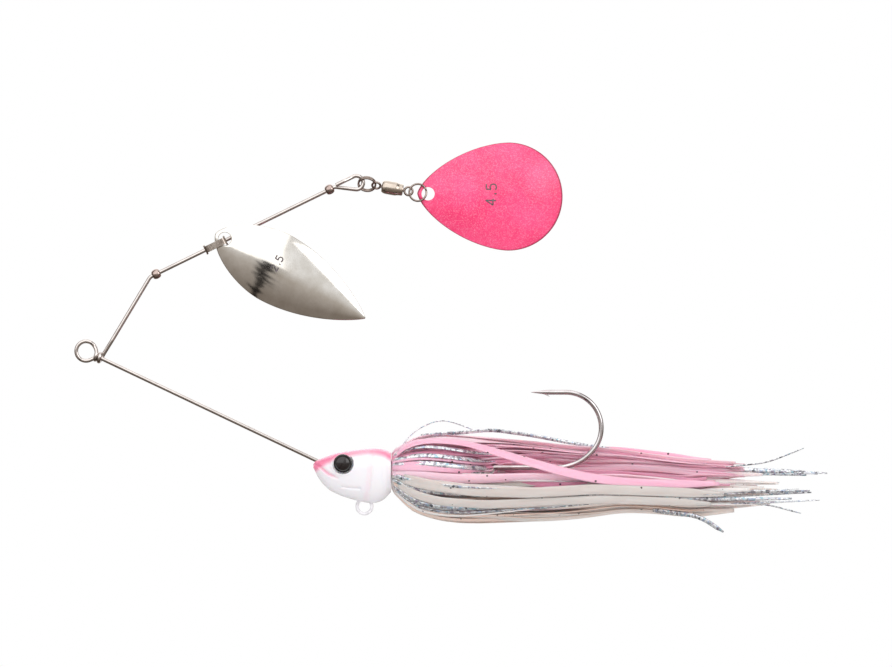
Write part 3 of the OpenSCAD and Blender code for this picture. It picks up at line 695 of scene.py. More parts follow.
def frame_path(sizes):
    """The whole frame as one run of wire. From the head up the lower arm, round the line tie as
    place = r (cos t, sin t), once and a half round itself as u = start + pitch t, with
    v = r cos t and y = -r sin t, then up the riser and the upper arm, and round the end loop."""
    r = sizes.wire_d / 2
    tie = sizes.eye_r + r
    seat, pitch, coil = 2.38, 2 * r, 0.87           # where the wrap starts, its pitch and radius
    in_head, below_tie = 62.5, 3.4                  # ends of the lower arm's straight run
    start = by_tie(np.linspace(in_head, below_tie, 40), 0, 0)
    t = np.radians(np.linspace(-48, -300, 90))
    eye = by_tie(tie * np.cos(t), tie * np.sin(t), 0)
    enter = curve_between(start[-1], -3.0 * by_tie(1, 0, 0), eye[0], 3.0 * by_tie(-.743, -.669, 0))
    t = np.radians(np.linspace(90, 90 + 360 * sizes.wrap_turns, 160))
    wrap = by_tie(seat + pitch * np.linspace(0, sizes.wrap_turns, 160), coil * np.cos(t),
                  -coil * np.sin(t))
    down = curve_between(eye[-1], 2.6 * by_tie(.866, -.5, 0), wrap[0], 2.2 * by_tie(0, -1, 0))
    foot, clear_of_wrap, riser_length, arm_length = np.array([3.813, -0.844]), 4, 20, 45.2
    turn = RISER - UPPER                            # of both bends
    riser = Wire(foot + clear_of_wrap * heading(RISER), RISER)
    half = math.tan(math.radians(turn / 2))
    a, b = sizes.riser_bend_r * half, sizes.apex_bend_r * half
    riser.straight(riser_length - clear_of_wrap - a).bend(sizes.riser_bend_r, -turn)
    riser.straight(arm_length - a - b).bend(sizes.apex_bend_r, -turn)
    riser.straight(sizes.loop_side - b).bend(sizes.loop_r, 180 + turn)
    rise = lift(riser.path())
    up = curve_between(wrap[-1], 3.0 * by_tie(0, 1, 0), rise[0], 3.0 * lift(heading(RISER)))
    s = np.linspace(0, 1, 20)[:, None]
    tail = rise[-1] + s * 4.3 * lift(heading(riser.turned)) - smooth_step(s * 1.6) * [0, 0.95, 0]
    parts = [start, enter, eye, down, wrap, up, rise, tail]
    along = by_tie(1, 0, 0)
    refs = [np.broadcast_to(along if part is wrap else ACROSS, part.shape) for part in parts]
    both = even(np.hstack([np.concatenate(parts), np.concatenate(refs)]), WIRE_STEP)
    return both[:, :3], softened(both[:, 3:], 9)


def helix_ring(radius, wire_r, coil):
    """Two touching coils of a split ring: place = radius (cos t, sin t) in its plane, and an
    offset across it that steps smoothly from one coil to the other over a sixth of a turn."""
    t = np.linspace(20, 700, 200)
    off = coil * (2 * smooth_step((t - 330) / 60) - 1)
    t = np.radians(t)
    path = np.stack([radius * np.cos(t), off, radius * np.sin(t)], -1)
    taper = np.minimum(1, 0.55 + np.minimum(np.arange(200), np.arange(200)[::-1]) / 6)
    return tube(path, wire_r * taper, sides=12)


class LURE_OT_frame_wire(bpy.types.Operator):
    """Sweeps the stainless wire of the frame, with its line tie, wrap and end loop"""
    bl_idname = "lure.frame_wire"
    bl_label = "Frame wire"

    def execute(self, context):
        sizes = in_mm(context.scene.lure_wire)
        path, ref = frame_path(sizes)
        run = np.arange(len(path)) * WIRE_STEP
        grid = tube(path, sizes.wire_d / 2, ref, sides=16)
        piece("frame_wire", [shell(grid, lengthwise=run)], drawn_wire(), "frame",
              ["wire_frame"], "stainless_wire")
        return {"FINISHED"}


class LURE_OT_beads(bpy.types.Operator):
    """Turns the two beads that slide on the upper arm"""
    bl_idname = "lure.beads"
    bl_label = "Beads"

    def execute(self, context):
        sizes = in_mm(context.scene.lure_wire)
        r, half, bore = sizes.bead_d / 2, sizes.bead_length / 2, 0.53
        t = np.linspace(-1, 1, 25)
        outside = np.stack([half * t, bore + (r - bore) * (1 - t ** 2) ** 0.5], -1)
        inside = np.stack([half * np.array([0.97, 0.5, 0, -0.5, -0.97]), np.full(5, bore)], -1)
        profile = np.concatenate([outside, inside])
        finish = bead_plate()
        for name in ("bead_lower", "bead_upper"):
            low, high = box_mm(name)
            middle = (low + high)[[0, 2]] / 2
            grid = set_out(turned(profile, 48), middle, UPPER)
            piece("turned_" + name, [shell(grid, rows_join=True)], finish, name, [name],
                  "nickel_bead")
        return {"FINISHED"}


class LURE_OT_split_rings(bpy.types.Operator):
    """Winds the two split rings, each of two coils, with their cut ends"""
    bl_idname = "lure.split_rings"
    bl_label = "Split rings"

    def execute(self, context):
        sizes = in_mm(context.scene.lure_wire)
        wire_r = sizes.ring_wire_d / 2
        radius, coil = sizes.ring_d / 2 - wire_r, wire_r * 0.97
        finish = tumbled_wire()
        for node, turn in (("ring_front", sizes.ring_turn), ("ring_rear", 0.0)):
            low, high = box_mm(node)
            middle = (low + high)[[0, 2]] / 2
            grid = set_out(helix_ring(radius, wire_r, coil), middle, RING_SLOPE, turn)
            piece("wound_" + node, [shell(grid)], finish, node, [node], "ring_steel")
        return {"FINISHED"}


class LURE_OT_swivel(bpy.types.Operator):
    """Finishes the clevis, the swivel's eyes, its barrel and its balls"""
    bl_idname = "lure.swivel"
    bl_label = "Clevis and swivel"

    def execute(self, context):
        eyes, barrel, balls = tumbled_wire(), plated_brass(), lapped_steel()
        for node, finish in (("clevis", folded_strip()), ("swivel_pin_front", eyes),
                             ("swivel_pin_rear", eyes),
                             ("swivel_balls_front", balls), ("swivel_balls_rear", balls)):
            mesh = frame["nodes"][node].data
            mesh.materials.clear()
            mesh.materials.append(finish)
        s = in_mm(context.scene.lure_wire)
        h, r = s.barrel_length / 2, s.barrel_d / 2
        outside = rounded([(-h, 0.39), (-h, 1.05), (-h + 0.3, 1.32), (-h + 0.9, r), (h - 1.6, r),
                           (h - 0.95, 1.3), (h - 0.15, 1.28), (h, 1.1), (h, 0.39)], 0.3, 6)
        inside = [(h - 0.45, 0.39), (h - 0.45, 1.0), (h - 1.4, 1.2), (-h + 0.45, 1.2),
                  (-h + 0.45, 0.39)]
        grid = turned(np.concatenate([outside, inside]), 72)
        grid = set_out(grid, pivot("barrel_spin"), -s.swivel_slope)
        piece("turned_barrel", [shell(grid, rows_join=True)], barrel, "swivel_barrel",
              ["swivel_barrel"], "nickel_barrel")
        return {"FINISHED"}


# ------------------------------------------------------------------ blades

class Blade:
    """A cupped leaf of even thickness. Its half width is W/2 (1 - x^a)^b, x being the share of
    the way from its widest place to an end."""

    def __init__(self, length, width, cup, widest, front, rear, thick, hole_edge):
        self.length, self.cup, self.thick, self.hole_x = length, cup, thick, hole_edge
        self.middle = np.array([widest, 0.0])
        x = widest + np.concatenate([-np.sin(np.linspace(math.pi / 2, 0, 120)) * widest,
                                     np.sin(np.linspace(0, math.pi / 2, 160))[1:] * (length - widest)])
        s = np.where(x < widest, (widest - x) / widest, (x - widest) / (length - widest))
        power = np.where(x < widest, front[0], rear[0]), np.where(x < widest, front[1], rear[1])
        half = width / 2 * np.maximum(0, 1 - np.clip(s, 0, 1) ** power[0]) ** power[1]
        line = np.concatenate([np.stack([x, half], -1), np.stack([x, -half], -1)[-2:0:-1]])
        closed = np.hstack([np.concatenate([line, line[:1]]), np.zeros((len(line) + 1, 1))])
        self.outline = even(closed, 0.35)[:-1, :2]
        self.halves = x, half

    def rise(self, place):
        """Height of the middle surface over the rim's plane, as a share of the cup: (1 - s^2)
        (1 - (z / h)^2), with s the share of the way to an end and h the half width there."""
        along, z = place[..., 0], place[..., 1]
        half = np.interp(along, *self.halves)
        s = (along - self.middle[0]) / np.where(along < self.middle[0], self.middle[0],
                                                self.length - self.middle[0])
        return np.clip(1 - s ** 2, 0, 1) * np.clip(1 - (z / np.maximum(half, 0.05)) ** 2, 0, 1)

    def grid(self, hole_r, y0):
        """Closed surface: out along the back from the hole, round the rim as a half circle, back
        along the face, and round the hole's edge. place = hole + t (outline - hole)."""
        centre = np.array([self.hole_x, 0.0])
        out = unit(self.outline - centre)
        r = self.thick / 2
        hole, edge = centre + hole_r * out, self.outline - r * out
        inner = hole + 0.12 * out
        t = np.sin(np.linspace(0, math.pi / 2, 44))[:, None, None]
        across = inner + t * (edge - inner)
        a = np.linspace(math.pi / 2, -math.pi / 2, 9)[1:-1]
        rim = edge + r * np.cos(a)[:, None, None] * out
        bore = inner - 0.12 * np.cos(a)[::-1, None, None] * out
        flat = np.concatenate([across, rim, across[::-1], bore])
        side = np.concatenate([np.full(44, 1.0), np.sin(a), np.full(44, -1.0), np.sin(a)[::-1]])
        y = y0 - self.cup * self.rise(flat) + r * side[:, None]
        # tint is 1 at the rim and 0 from half a millimetre in; it marks the darker rim line.
        near = np.linalg.norm(self.outline - flat, axis=-1)
        tint = 1 - smooth_step((near - 0.1) / 0.4)
        return np.stack([flat[..., 0] - self.hole_x, y, flat[..., 1]], -1), tint

    def on_face(self, place, y0):
        """Points just proud of the face at (x from the nose, z)."""
        place = np.asarray(place, float)
        y = y0 - self.cup * self.rise(place) - self.thick / 2 - 0.012
        return np.stack([place[:, 0] - self.hole_x, y, place[:, 1]], -1)


DIGITS = {
    "2": [[(0, .8), (.1, .95), (.3, 1), (.5, .93), (.58, .75), (.5, .55), (.1, .12), (0, 0), (.62, 0)]],
    "4": [[(.62, .3), (0, .3), (.45, 1), (.45, 0)]],
    "5": [[(.56, 1), (.08, 1), (.03, .56), (.3, .63), (.52, .52), (.6, .3), (.5, .08), (.25, 0), (0, .1)]],
    ".": [[(0, .04), (.14, .04)], [(0, .12), (.14, .12)]],
}


def number(text, blade, y0, place, height, turn, stroke=0.15):
    """A printed size number: each digit's strokes as flat strips on the blade's face."""
    c, s = math.cos(math.radians(turn)), math.sin(math.radians(turn))
    shells, pen = [], 0.0
    for sign in text:
        for line in DIGITS[sign]:
            flat = even(np.hstack([np.array(line) + [pen, 0], np.zeros((len(line), 1))]), 0.05)
            a, b = flat[:, 0] * height, flat[:, 1] * height
            spot = np.stack([place[0] + a * c - b * s, place[1] + a * s + b * c], -1)
            shells.append(shell(tube(blade.on_face(spot, y0), 0.02, sides=8, depth=stroke / 0.02)))
        pen += 0.42 if sign == "." else 1.05
    return shells


class LURE_OT_blades(bpy.types.Operator):
    """Makes the willow and Colorado blades and prints their size numbers"""
    bl_idname = "lure.blades"
    bl_label = "Blades"

    def execute(self, context):
        s, colours = in_mm(context.scene.lure_blades), context.scene.lure_colours
        printed = ink(colours)
        willow = Blade(s.willow_length, s.willow_width, s.willow_cup, 0.4 * s.willow_length,
                       (1.75, 0.65), (1.86, 0.9), s.thick, s.hole_edge)
        round_place = s.colorado_length - s.colorado_width / 2
        colorado = Blade(s.colorado_length, s.colorado_width, s.colorado_cup,
                         round_place, (1.7, 0.7), (2, 0.5), s.thick, s.hole_edge)
        low, high = box_mm("willow_blade")
        rim = high[1] - s.thick / 2
        lift_y = s.colorado_cup * float(colorado.rise(np.array([s.hole_edge, 0.0])))
        for name, blade, y0, hole, slope, finish, slot, text, spot, height, turn in (
                ("willow", willow, rim, WILLOW_HOLE, -s.willow_slope, buffed_blade(),
                 "nickel_blade", "2.5", (15.8, -0.7), 1.6, 90),
                ("colorado", colorado, lift_y, COLORADO_HOLE, -s.colorado_slope,
                 blade_lacquer(colours), "pink_blade", "4.5", (17.4, -2.0), 2.25, 90)):
            grid, tint = blade.grid(s.hole_r, y0)
            piece(name + "_leaf", [shell(set_out(grid, hole, slope), rows_join=True, tint=tint)],
                  finish, name, [name + "_blade"], slot)
            shells = number(text, blade, y0, spot, height, turn)
            for one in shells:
                one["verts"] = set_out(one["verts"], hole, slope)
            piece(name + "_number", shells, printed, name, slot=slot)
        return {"FINISHED"}


# ------------------------------------------------------------------ head, eyes, hook and band

def away_from(x, z, line):
    """Distance of places (x, z) from a polyline, and the share of its length at the nearest."""
    line = np.asarray(line, float)
    a, d = line[:-1], np.diff(line, axis=0)
    off = np.stack([x, z], -1)[..., None, :] - a
    s = np.clip((off * d).sum(-1) / (d * d).sum(-1), 0, 1)
    far = np.linalg.norm(off - s[..., None] * d, axis=-1)
    best = far.argmin(-1)[..., None]
    at = (np.take_along_axis(s, best, -1)[..., 0] + best[..., 0]) / len(d)
    return np.take_along_axis(far, best, -1)[..., 0], at


TOP = np.array([(0, -25.0), (.35, -24.3), (1.6, -23.65), (4.79, -22.44), (8.1, -21.89), (11.83, -21.45),
                (14.5, -21.4), (16, -21.7), (17.1, -22.3)])
BOTTOM = np.array([(0, -25.6), (.35, -26.3), (.95, -27.6), (2.06, -29.2), (3.7, -30.7), (6.33, -31.95),
                   (9.4, -32.87), (11.83, -33.38), (13.8, -33.4), (15.1, -33.0), (16.3, -32.0),
                   (17.1, -30.9)])


DRAWN_LENGTH = 17.1         # head length that TOP and BOTTOM are drawn at


def head_surface(sizes, nose, eye):
    """Sections down the head. Each is an oval with its widest place a third of the way down:
    y = w cos a |cos a|^-0.12 and z above or below that level in step with sin a. w follows
    sqrt(1 - ((W - s) / W)^2), the side is cut by the mouth and jaw as grooves of bell section,
    steps in behind the gill line, and stops at the eyes' sockets. Tint is the pink laid on, and
    a faint band of painted shade along the gill step."""
    ratio = sizes.head_length / DRAWN_LENGTH
    last = math.pi / 2 + 0.35
    s = DRAWN_LENGTH * (1 - np.cos(np.linspace(0.02, last, 190))) / (1 - math.cos(last))
    high = softened(np.interp(s, *TOP.T)[:, None], 9)[:, 0]
    low = softened(np.interp(s, *BOTTOM.T)[:, None], 9)[:, 0]
    wide = DRAWN_LENGTH * 0.81
    girth = np.where(s < wide, np.sqrt(np.clip(1 - ((wide - s) / wide) ** 2, 0, 1)),
                     np.sqrt(np.clip(1 - ((s - wide) / 6.0) ** 2, 0, 1)))
    a = np.arange(300) * TAU / 300
    level = high - 0.34 * (high - low)
    c, v = np.cos(a)[None], np.sin(a)[None]
    up = np.where(v > 0, (high - level)[:, None], (level - low)[:, None])
    z = level[:, None] + up * v
    y = (sizes.head_width / 2 - 0.02) * girth[:, None] * np.sign(c) * abs(c) ** 0.88
    x = np.broadcast_to(nose[0] + s[:, None] * ratio, y.shape)
    side = smooth_step(abs(c) * 2.2)
    mouth, along = away_from(x, z, [(50.2, -24.9), (51.2, -25.3), (53.4, -27.1), (56.4, -28.5)])
    fade = smooth_step((1 - along) * 2.5)
    jaw, _ = away_from(x, z, [(56.3, -29.9), (58.2, -30.15), (60.2, -30.25)])
    gill = np.interp(z, [-33.5, -32.8, -27.5, -22.2], [61.6, 61.8, 62.5, 62.9])
    cut = 0.42 * fade * np.exp(-(mouth / 0.3) ** 2) + 0.25 * np.exp(-(jaw / 0.26) ** 2)
    cut = cut + 0.26 * smooth_step((x - gill) / 0.7) * (1 - smooth_step((x - 65.0) / 1.3))
    y = np.sign(y) * np.maximum(abs(y) - cut * side, 0)
    round_eye = np.hypot(x - eye[0], z - eye[1])
    brow = np.exp(-((round_eye - 2.55) / 0.3) ** 2) * 0.14 * side
    seat = smooth_step((2.45 - round_eye) / 0.3)
    y = np.sign(y) * (np.where(abs(y) > 3.72, abs(y) * (1 - seat) + 3.72 * seat, abs(y)) + brow)
    depth = np.interp(x, [50, 51.6, 53.2, 54.8, 58, 61.8, 64.7, 67.1],
                      [2.4, 2.1, 1.7, 1.3, 1.1, 1.0, 1.4, 1.8])
    pink = smooth_step(0.5 + (z - (high[:, None] - depth)) / 1.7)
    pink = np.maximum(pink, 0.55 * fade * np.exp(-(mouth / 0.4) ** 2))
    # A faint pink band along the gill step is painted shade, where the side steps in behind the cheek.
    pink = np.maximum(pink, 0.12 * np.exp(-((x - gill + 0.2) / 0.9) ** 2) * side)
    return np.stack([x, y, z], -1), np.clip(pink, 0, 1)


class LURE_OT_head(bpy.types.Operator):
    """Models the painted head with its mouth, jaw and gill lines, and the keeper behind it"""
    bl_idname = "lure.head"
    bl_label = "Head"

    def execute(self, context):
        s, colours = in_mm(context.scene.lure_body), context.scene.lure_colours
        low, high = box_mm("eye_left")
        eye = (low + high)[[0, 2]] / 2
        grid, pink = head_surface(s, NOSE, eye)
        bar = turned(rounded([(-0.8, 0.05), (-0.8, 2.58), (5.9, 2.58), (5.9, 0.05)], 0.5), 64)
        bar = set_out(bar, (REAR, KEEPER_Z), 0)
        piece("painted_head", [shell(grid, tint=pink), shell(bar)], head_paint(colours), "frame",
              ["head"], "painted_lead")
        return {"FINISHED"}


class LURE_OT_eyes(bpy.types.Operator):
    """Turns the two moulded eyes, each a rim round a low dome"""
    bl_idname = "lure.eyes"
    bl_label = "Eyes"

    def execute(self, context):
        finish = moulded_eye(context.scene.lure_colours)
        for node in ("eye_left", "eye_right"):
            low, high = box_mm(node)
            middle, r, tall = (low + high) / 2, (high[0] - low[0]) / 2, high[1] - low[1]
            side = math.copysign(1, middle[1])
            dome = np.linspace(1.42, 0.02, 16)
            profile = np.concatenate([
                [(0, 0.02)], [(0, r * 0.98)], [(tall * 0.45, r)], [(tall * 0.7, r - 0.08)],
                [(tall * 0.8, r - 0.25)], [(tall * 0.8, r - 0.42)], [(tall * 0.7, 1.5)],
                np.stack([tall * (0.72 + 0.27 * (1 - (dome / 1.5) ** 2)), dome], -1)])
            solid = turned(profile, 72)
            start = low[1] if side > 0 else high[1]
            grid = np.stack([middle[0] + solid[..., 1], start + side * solid[..., 0],
                             middle[2] + solid[..., 2]], -1)
            disc = np.broadcast_to((profile[:, 1:] < 1.47).astype(float), grid.shape[:2])
            piece("moulded_" + node, [shell(grid, tint=disc)], finish, "frame", [node], "eye_gloss")
        return {"FINISHED"}


class LURE_OT_eyelet(bpy.types.Operator):
    """Bends the painted wire eyelet under the head"""
    bl_idname = "lure.eyelet"
    bl_label = "Belly eyelet"

    def execute(self, context):
        s = in_mm(context.scene.lure_body)
        r = s.eyelet_wire_d / 2
        mean = s.eyelet_d / 2 - r
        t = np.linspace(0, TAU, 97)[:-1]
        ring = lift(EYELET + mean * np.stack([np.cos(t), np.sin(t)], -1))
        closed = tube(np.concatenate([ring[-2:], ring, ring[:2]]), r, sides=20)[2:-2]
        stub = lift(np.linspace(EYELET + [0, mean], EYELET + [0, mean + 1.6], 8))
        piece("painted_eyelet", [shell(closed, rows_join=True), shell(tube(stub, r * 1.15, sides=20))],
              painted_wire(context.scene.lure_colours), "frame", ["belly_eyelet"], "painted_wire")
        return {"FINISHED"}


class LURE_OT_hook(bpy.types.Operator):
    """Bends the hook from its shank through a wide and a tight bend to the barbed point"""
    bl_idname = "lure.hook"
    bl_label = "Hook"

    def execute(self, context):
        s = in_mm(context.scene.lure_body)
        r, cast_in = s.hook_wire_d / 2, 7.0
        run = Wire((REAR - cast_in, SHANK_Z), 0)
        run.straight(cast_in + s.shank_length).bend(s.bend_wide_r, 50).bend(s.bend_tight_r, 130)
        run.straight(s.spear)
        start = run.at
        run.straight(s.point)
        flat = even(lift(run.path()), WIRE_STEP)
        left = np.linalg.norm(np.diff(flat, axis=0), axis=1)[::-1].cumsum()[::-1]
        left = np.append(left, 0.0)
        radius = r * np.clip(left / s.point, 0, 1) ** 0.8 + 0.03 * (left < s.point)
        barb = curve_between(lift(start + [-1.5, -0.22]), lift([1.0, -0.1]),
                             lift(start + [-0.1, -0.98]), lift([0.9, -0.7]), 16)
        wire = shell(tube(flat, np.minimum(radius, r), sides=18),
                     lengthwise=np.arange(len(flat)) * WIRE_STEP)
        thin = np.linspace(0.24, 0.03, 16)
        piece("forged_hook", [wire, shell(tube(barb, thin, sides=12))], hook_steel(), "frame",
              ["hook"], "hook_steel")
        return {"FINISHED"}


class LURE_OT_band(bpy.types.Operator):
    """Makes the rubber band that holds the skirt on the keeper"""
    bl_idname = "lure.band"
    bl_label = "Skirt band"

    def execute(self, context):
        low, high = box_mm("skirt_band")
        wide, r = high[0] - low[0], (high[2] - low[2]) / 2
        outside = rounded([(0.0, 2.66), (0.0, r), (wide, r), (wide, 2.66)], 0.42, 7)
        grid = set_out(turned(outside, 80), (low[0], (low[2] + high[2]) / 2), 0)
        piece("rubber_band", [shell(grid, rows_join=True)],
              band_rubber(context.scene.lure_colours), "frame", ["skirt_band"], "band_rubber")
        return {"FINISHED"}


# ------------------------------------------------------------------ skirt

# Outline of the skirt: its upper edge and lower edge as (x, z), and half its thickness as (x, y)
EDGE_TOP = np.array([(67.6, -22.0), (69.7, -19.9), (72.2, -18.5), (78.1, -18.1), (85.6, -18.9),
                     (98.3, -20.0), (106.7, -21.1), (117.5, -21.8), (127.2, -22.9), (134.2, -23.7),
                     (143.2, -24.0), (166, -25.2)])
EDGE_LOW = np.array([(67.6, -31.0), (69.4, -34.2), (71.5, -35.6), (75.5, -37.0), (79.9, -37.7),
                     (84.9, -37.7), (98.3, -37.0), (105.2, -36.6), (111.8, -35.8), (117.5, -34.8),
                     (125.4, -35.0), (132.4, -35.8), (142.1, -35.2), (166, -33.8)])
EDGE_SIDE = np.array([(67.6, 4.2), (69.7, 6.2), (72.2, 7.8), (78, 8.9), (85, 8.9), (98, 8.0),
                      (112, 6.8), (125, 6.0), (143, 5.4), (166, 4.6)])
SHANK = np.array([0.0, SHANK_Z])        # the hook's shank end on, as (y, z)

# Broad strands that cross the others on the near side: points, width and tint
CROSSING = {
    "skirt_pink": [
        ([(67.3, -2.6, -24.2), (68.4, -3.9, -22.4), (71, -4.7, -20.4), (76, -5.0, -19.6),
          (83.4, -5.4, -20.2), (88.9, -6.5, -21.8), (94.4, -7.4, -23.5), (99.9, -7.8, -25.1),
          (104.3, -7.8, -26.4), (110.9, -7.4, -27.9), (117.5, -7.0, -28.8),
          (128, -6.4, -29.3), (140, -5.8, -29.2)], 2.3, 0.42)],
    "skirt_pearl": [
        ([(67.3, -3.0, -27.4), (68.6, -4.8, -27.7), (71.5, -7.2, -28.6), (76, -8.7, -29.6),
          (85, -9.0, -30.8), (98, -8.4, -31.2), (112, -7.3, -30.4), (126, -6.5, -30.9),
          (141, -5.8, -31.6)], 2.6, 0.07),
        ([(67.3, -2.9, -28.4), (68.8, -4.6, -29.6), (72, -6.6, -31.6), (78, -7.6, -33.2),
          (88, -7.4, -33.8), (100, -6.8, -33.2), (114, -6.2, -32.6), (130, -5.6, -33.2),
          (138, -5.2, -33.6)], 2.4, 0.12)]}

# Flash strands that stand away from the rest: points, width and thickness
LOOSE = (
    ([(73, -1.2, -18.6), (84.9, -1.4, -17.8), (88.9, -1.4, -17.3), (97.7, -0.4, -18.5),
      (108.7, 1.6, -20.6), (118, 2.0, -21.9)], 0.9, 0.3),
    ([(68.2, -1.0, -22.6), (72, -0.6, -17.6), (77.9, 0.2, -14.9), (83, 0.6, -16.4),
      (87, 0.8, -18.2)], 0.28, 0.2),
    ([(124, -1.0, -34.9), (134.9, -2.0, -36.3), (140.8, -2.4, -40.2)], 1.1, 0.3),
    ([(140, -0.8, -25.6), (149.8, -0.8, -24.6), (158.6, -1.4, -21.1)], 0.4, 0.2),
    ([(138, -0.8, -33.4), (149.8, -0.8, -33.7), (158, -1.2, -35.9)], 0.4, 0.2))


def strand_path(v, side, depth, end, wave, phase, drift):
    """A strand's middle line. At each x it stands at the height share v between the skirt's lower
    and upper edges, and y = side depth w sqrt(1 - v^2). v drifts by a slow sine. It springs from
    under the band, and beyond the gap it keeps behind the hook and clear of its shank."""
    x = np.linspace(69.8, end, 54)
    share = (x - 67) / 76
    above = v > 0.1
    v = np.clip(v + drift * smooth_step(share) + wave * np.sin(phase + 5.5 * share), -0.985, 0.985)
    v = v if above else np.minimum(v, 0.95 - 0.85 * smooth_step((x - 76) / 18))
    lump = smooth_step((x - 112) / 22)
    v = v * (1 - lump) + lump * np.where(v > 0.24, 0.36 + 0.8 * (v - 0.24),
                                         -0.98 + 0.97 * (v + 0.98))
    top, low = np.interp(x, *EDGE_TOP.T), np.interp(x, *EDGE_LOW.T)
    z = (top + low) / 2 + (top - low) / 2 * np.clip(v, -0.99, 0.99)
    y = side * depth * np.interp(x, *EDGE_SIDE.T) * np.sqrt(1 - v ** 2)
    y = y + 0.35 * np.sin(phase + 9 * share)
    behind = above * smooth_step((x - 80) / 18)
    y = y * (1 - behind) + behind * (1.5 + 0.7 * abs(y))
    root = np.arctan2(v[0], side * math.sqrt(1 - v[0] ** 2))
    ray = np.array([math.cos(root), math.sin(root)])
    first = np.array([[67.35, 2.75], [67.22, 3.6], [67.5, 4.7]])
    roots = np.stack([first[:, 0], first[:, 1] * ray[0], KEEPER_Z + first[:, 1] * ray[1]], -1)
    path = np.concatenate([roots, np.stack([x, y, z], -1)])
    path[3:] = softened(path, 5)[3:]
    off = path[:, 1:] - SHANK
    far = np.linalg.norm(off, axis=1, keepdims=True)
    clear = (path[:, :1] > 73) & (path[:, :1] < 104)
    room = 1.35                 # least distance from the shank's middle line
    path[:, 1:] = np.where(clear & (far < room), SHANK + off / np.maximum(far, 0.05) * room,
                           path[:, 1:])
    return even(path, STRAND_STEP)


def strand(path, tint, width, thick, twist=0.0, lean=0.0):
    """A flat strand with soft edges: its width lies round the skirt, turned by lean at the root
    and by lean + twist at the tip."""
    out = unit(path[:, 1:] - [0.0, -27.5] + 1e-6)
    across = np.stack([np.zeros(len(path)), -out[:, 1], out[:, 0]], -1)
    lean = lean + twist * np.linspace(0, 1, len(path))[:, None]
    outward = np.stack([np.zeros(len(path)), out[:, 0], out[:, 1]], -1)
    across = np.cos(lean) * across + np.sin(lean) * outward
    taper = np.interp(np.linspace(0, 1, len(path)), [0, 0.08, 0.9, 1], [0.6, 1, 0.85, 0.35])
    run = np.linspace(0, STRAND_STEP * len(path), len(path)) + 200 * tint
    grid = tube(path, width / 2 * taper, across, sides=8, depth=thick / width, power=0.8)
    return shell(grid, tint=np.full(grid.shape[:2], tint), lengthwise=run)


class LURE_OT_skirt(bpy.types.Operator):
    """Lays the skirt's strands, kind by kind, from a fixed seed"""
    bl_idname = "lure.skirt"
    bl_label = "Skirt"

    def execute(self, context):
        s = in_mm(context.scene.lure_body)
        rng = np.random.default_rng(11)
        tip = REAR + s.skirt_length
        pink = silicone("silicone, pink with pepper fleck",
                        ("#F09DBA", "#F8B2CA", "#FBC6D7", "#F5D6DE"), "#4A3B40", 0.3)
        pearl = silicone("silicone, pearl with pepper fleck",
                         ("#CFC4BF", "#E2D9D4", "#EFE6E3", "#F1C9D3"), "#4A4243", 0.32)
        peach = silicone("silicone, peach with pepper fleck",
                         ("#E3BFB0", "#E9CDC1", "#DFD2CB", "#D3CBC6"), "#56443F", 0.25)
        flash = flash_film()
        # name, finish, how many, height shares, depths, tips, width factor, CAD nodes and slot
        kinds = (
            ("skirt_pink", pink, 64, (-0.12, 0.97), (0.25, 1.0), (tip - 6, tip + 3), 1.5,
             ["skirt_upper_left", "skirt_upper_right", "skirt_side_left", "skirt_side_right"],
             "pink_silicone"),
            ("skirt_pearl", pearl, 44, (-0.78, 0.2), (0.25, 1.0), (tip - 8, tip + 12), 1.5,
             ["skirt_lower_left", "skirt_lower_right"], "pearl_silicone"),
            ("skirt_peach", peach, 18, (-0.97, -0.58), (0.4, 1.0), (tip - 10, tip + 4), 1.5,
             ["skirt_bottom"], "peach_silicone"),
            ("skirt_flash", flash, 16, (-0.9, 0.8), (0.9, 1.03), (tip - 4, tip + 22.5), 0.8,
             ["skirt_flash_tail"], "flash_film"))
        for name, finish, count, heights, depths, tips, width, nodes, slot in kinds:
            low, high = heights
            shells = []
            for points, broad, tint in CROSSING.get(name, ()):
                path = even(softened(even(np.array(points, float), 0.8), 7), STRAND_STEP)
                shells.append(strand(path, tint, broad, s.strand_thick, 0.3))
            for k in range(count):
                side = -1 if k % 2 == 0 else 1
                v = low + (high - low) * (k // 2 + rng.uniform(0.1, 0.9)) / (count / 2)
                path = strand_path(v, side, rng.uniform(*depths), rng.uniform(*tips),
                                   rng.uniform(0.02, 0.13), rng.uniform(0, TAU),
                                   rng.uniform(-0.3, 0.2))
                shells.append(strand(path, rng.uniform(0.05, 0.95),
                                     s.strand_width * width * rng.uniform(0.7, 1.2),
                                     s.strand_thick, rng.uniform(-1.6, 1.6)))
            piece(name, shells, finish, "frame", nodes, slot)
        shells = []
        for k, (points, width, thick) in enumerate(LOOSE):
            path = even(softened(even(np.array(points, float), 0.8), 7), 0.9)
            shells.append(strand(path, 0.2 + 0.15 * k, width, thick, lean=1.3))
        piece("skirt_strays", shells, flash, "frame", slot="flash_film")
        return {"FINISHED"}


# ------------------------------------------------------------------ stage

FLOOR_HALF, FLOOR_Z = 1.6, -0.075

# Square lamps, in metres and watts: name, place, side and power. All clear the floor.
LAMPS = (("key", (-0.16, -0.42, 0.42), 0.95, 2.3), ("top", (0.1, 0.0, 0.6), 0.5, 0.7),
         ("fill", (0.6, -0.55, 0.3), 0.5, 1.5), ("back", (0.05, 0.5, 0.25), 0.7, 1.0))
AIM = Vector((0.079, 0.0, 0.004))


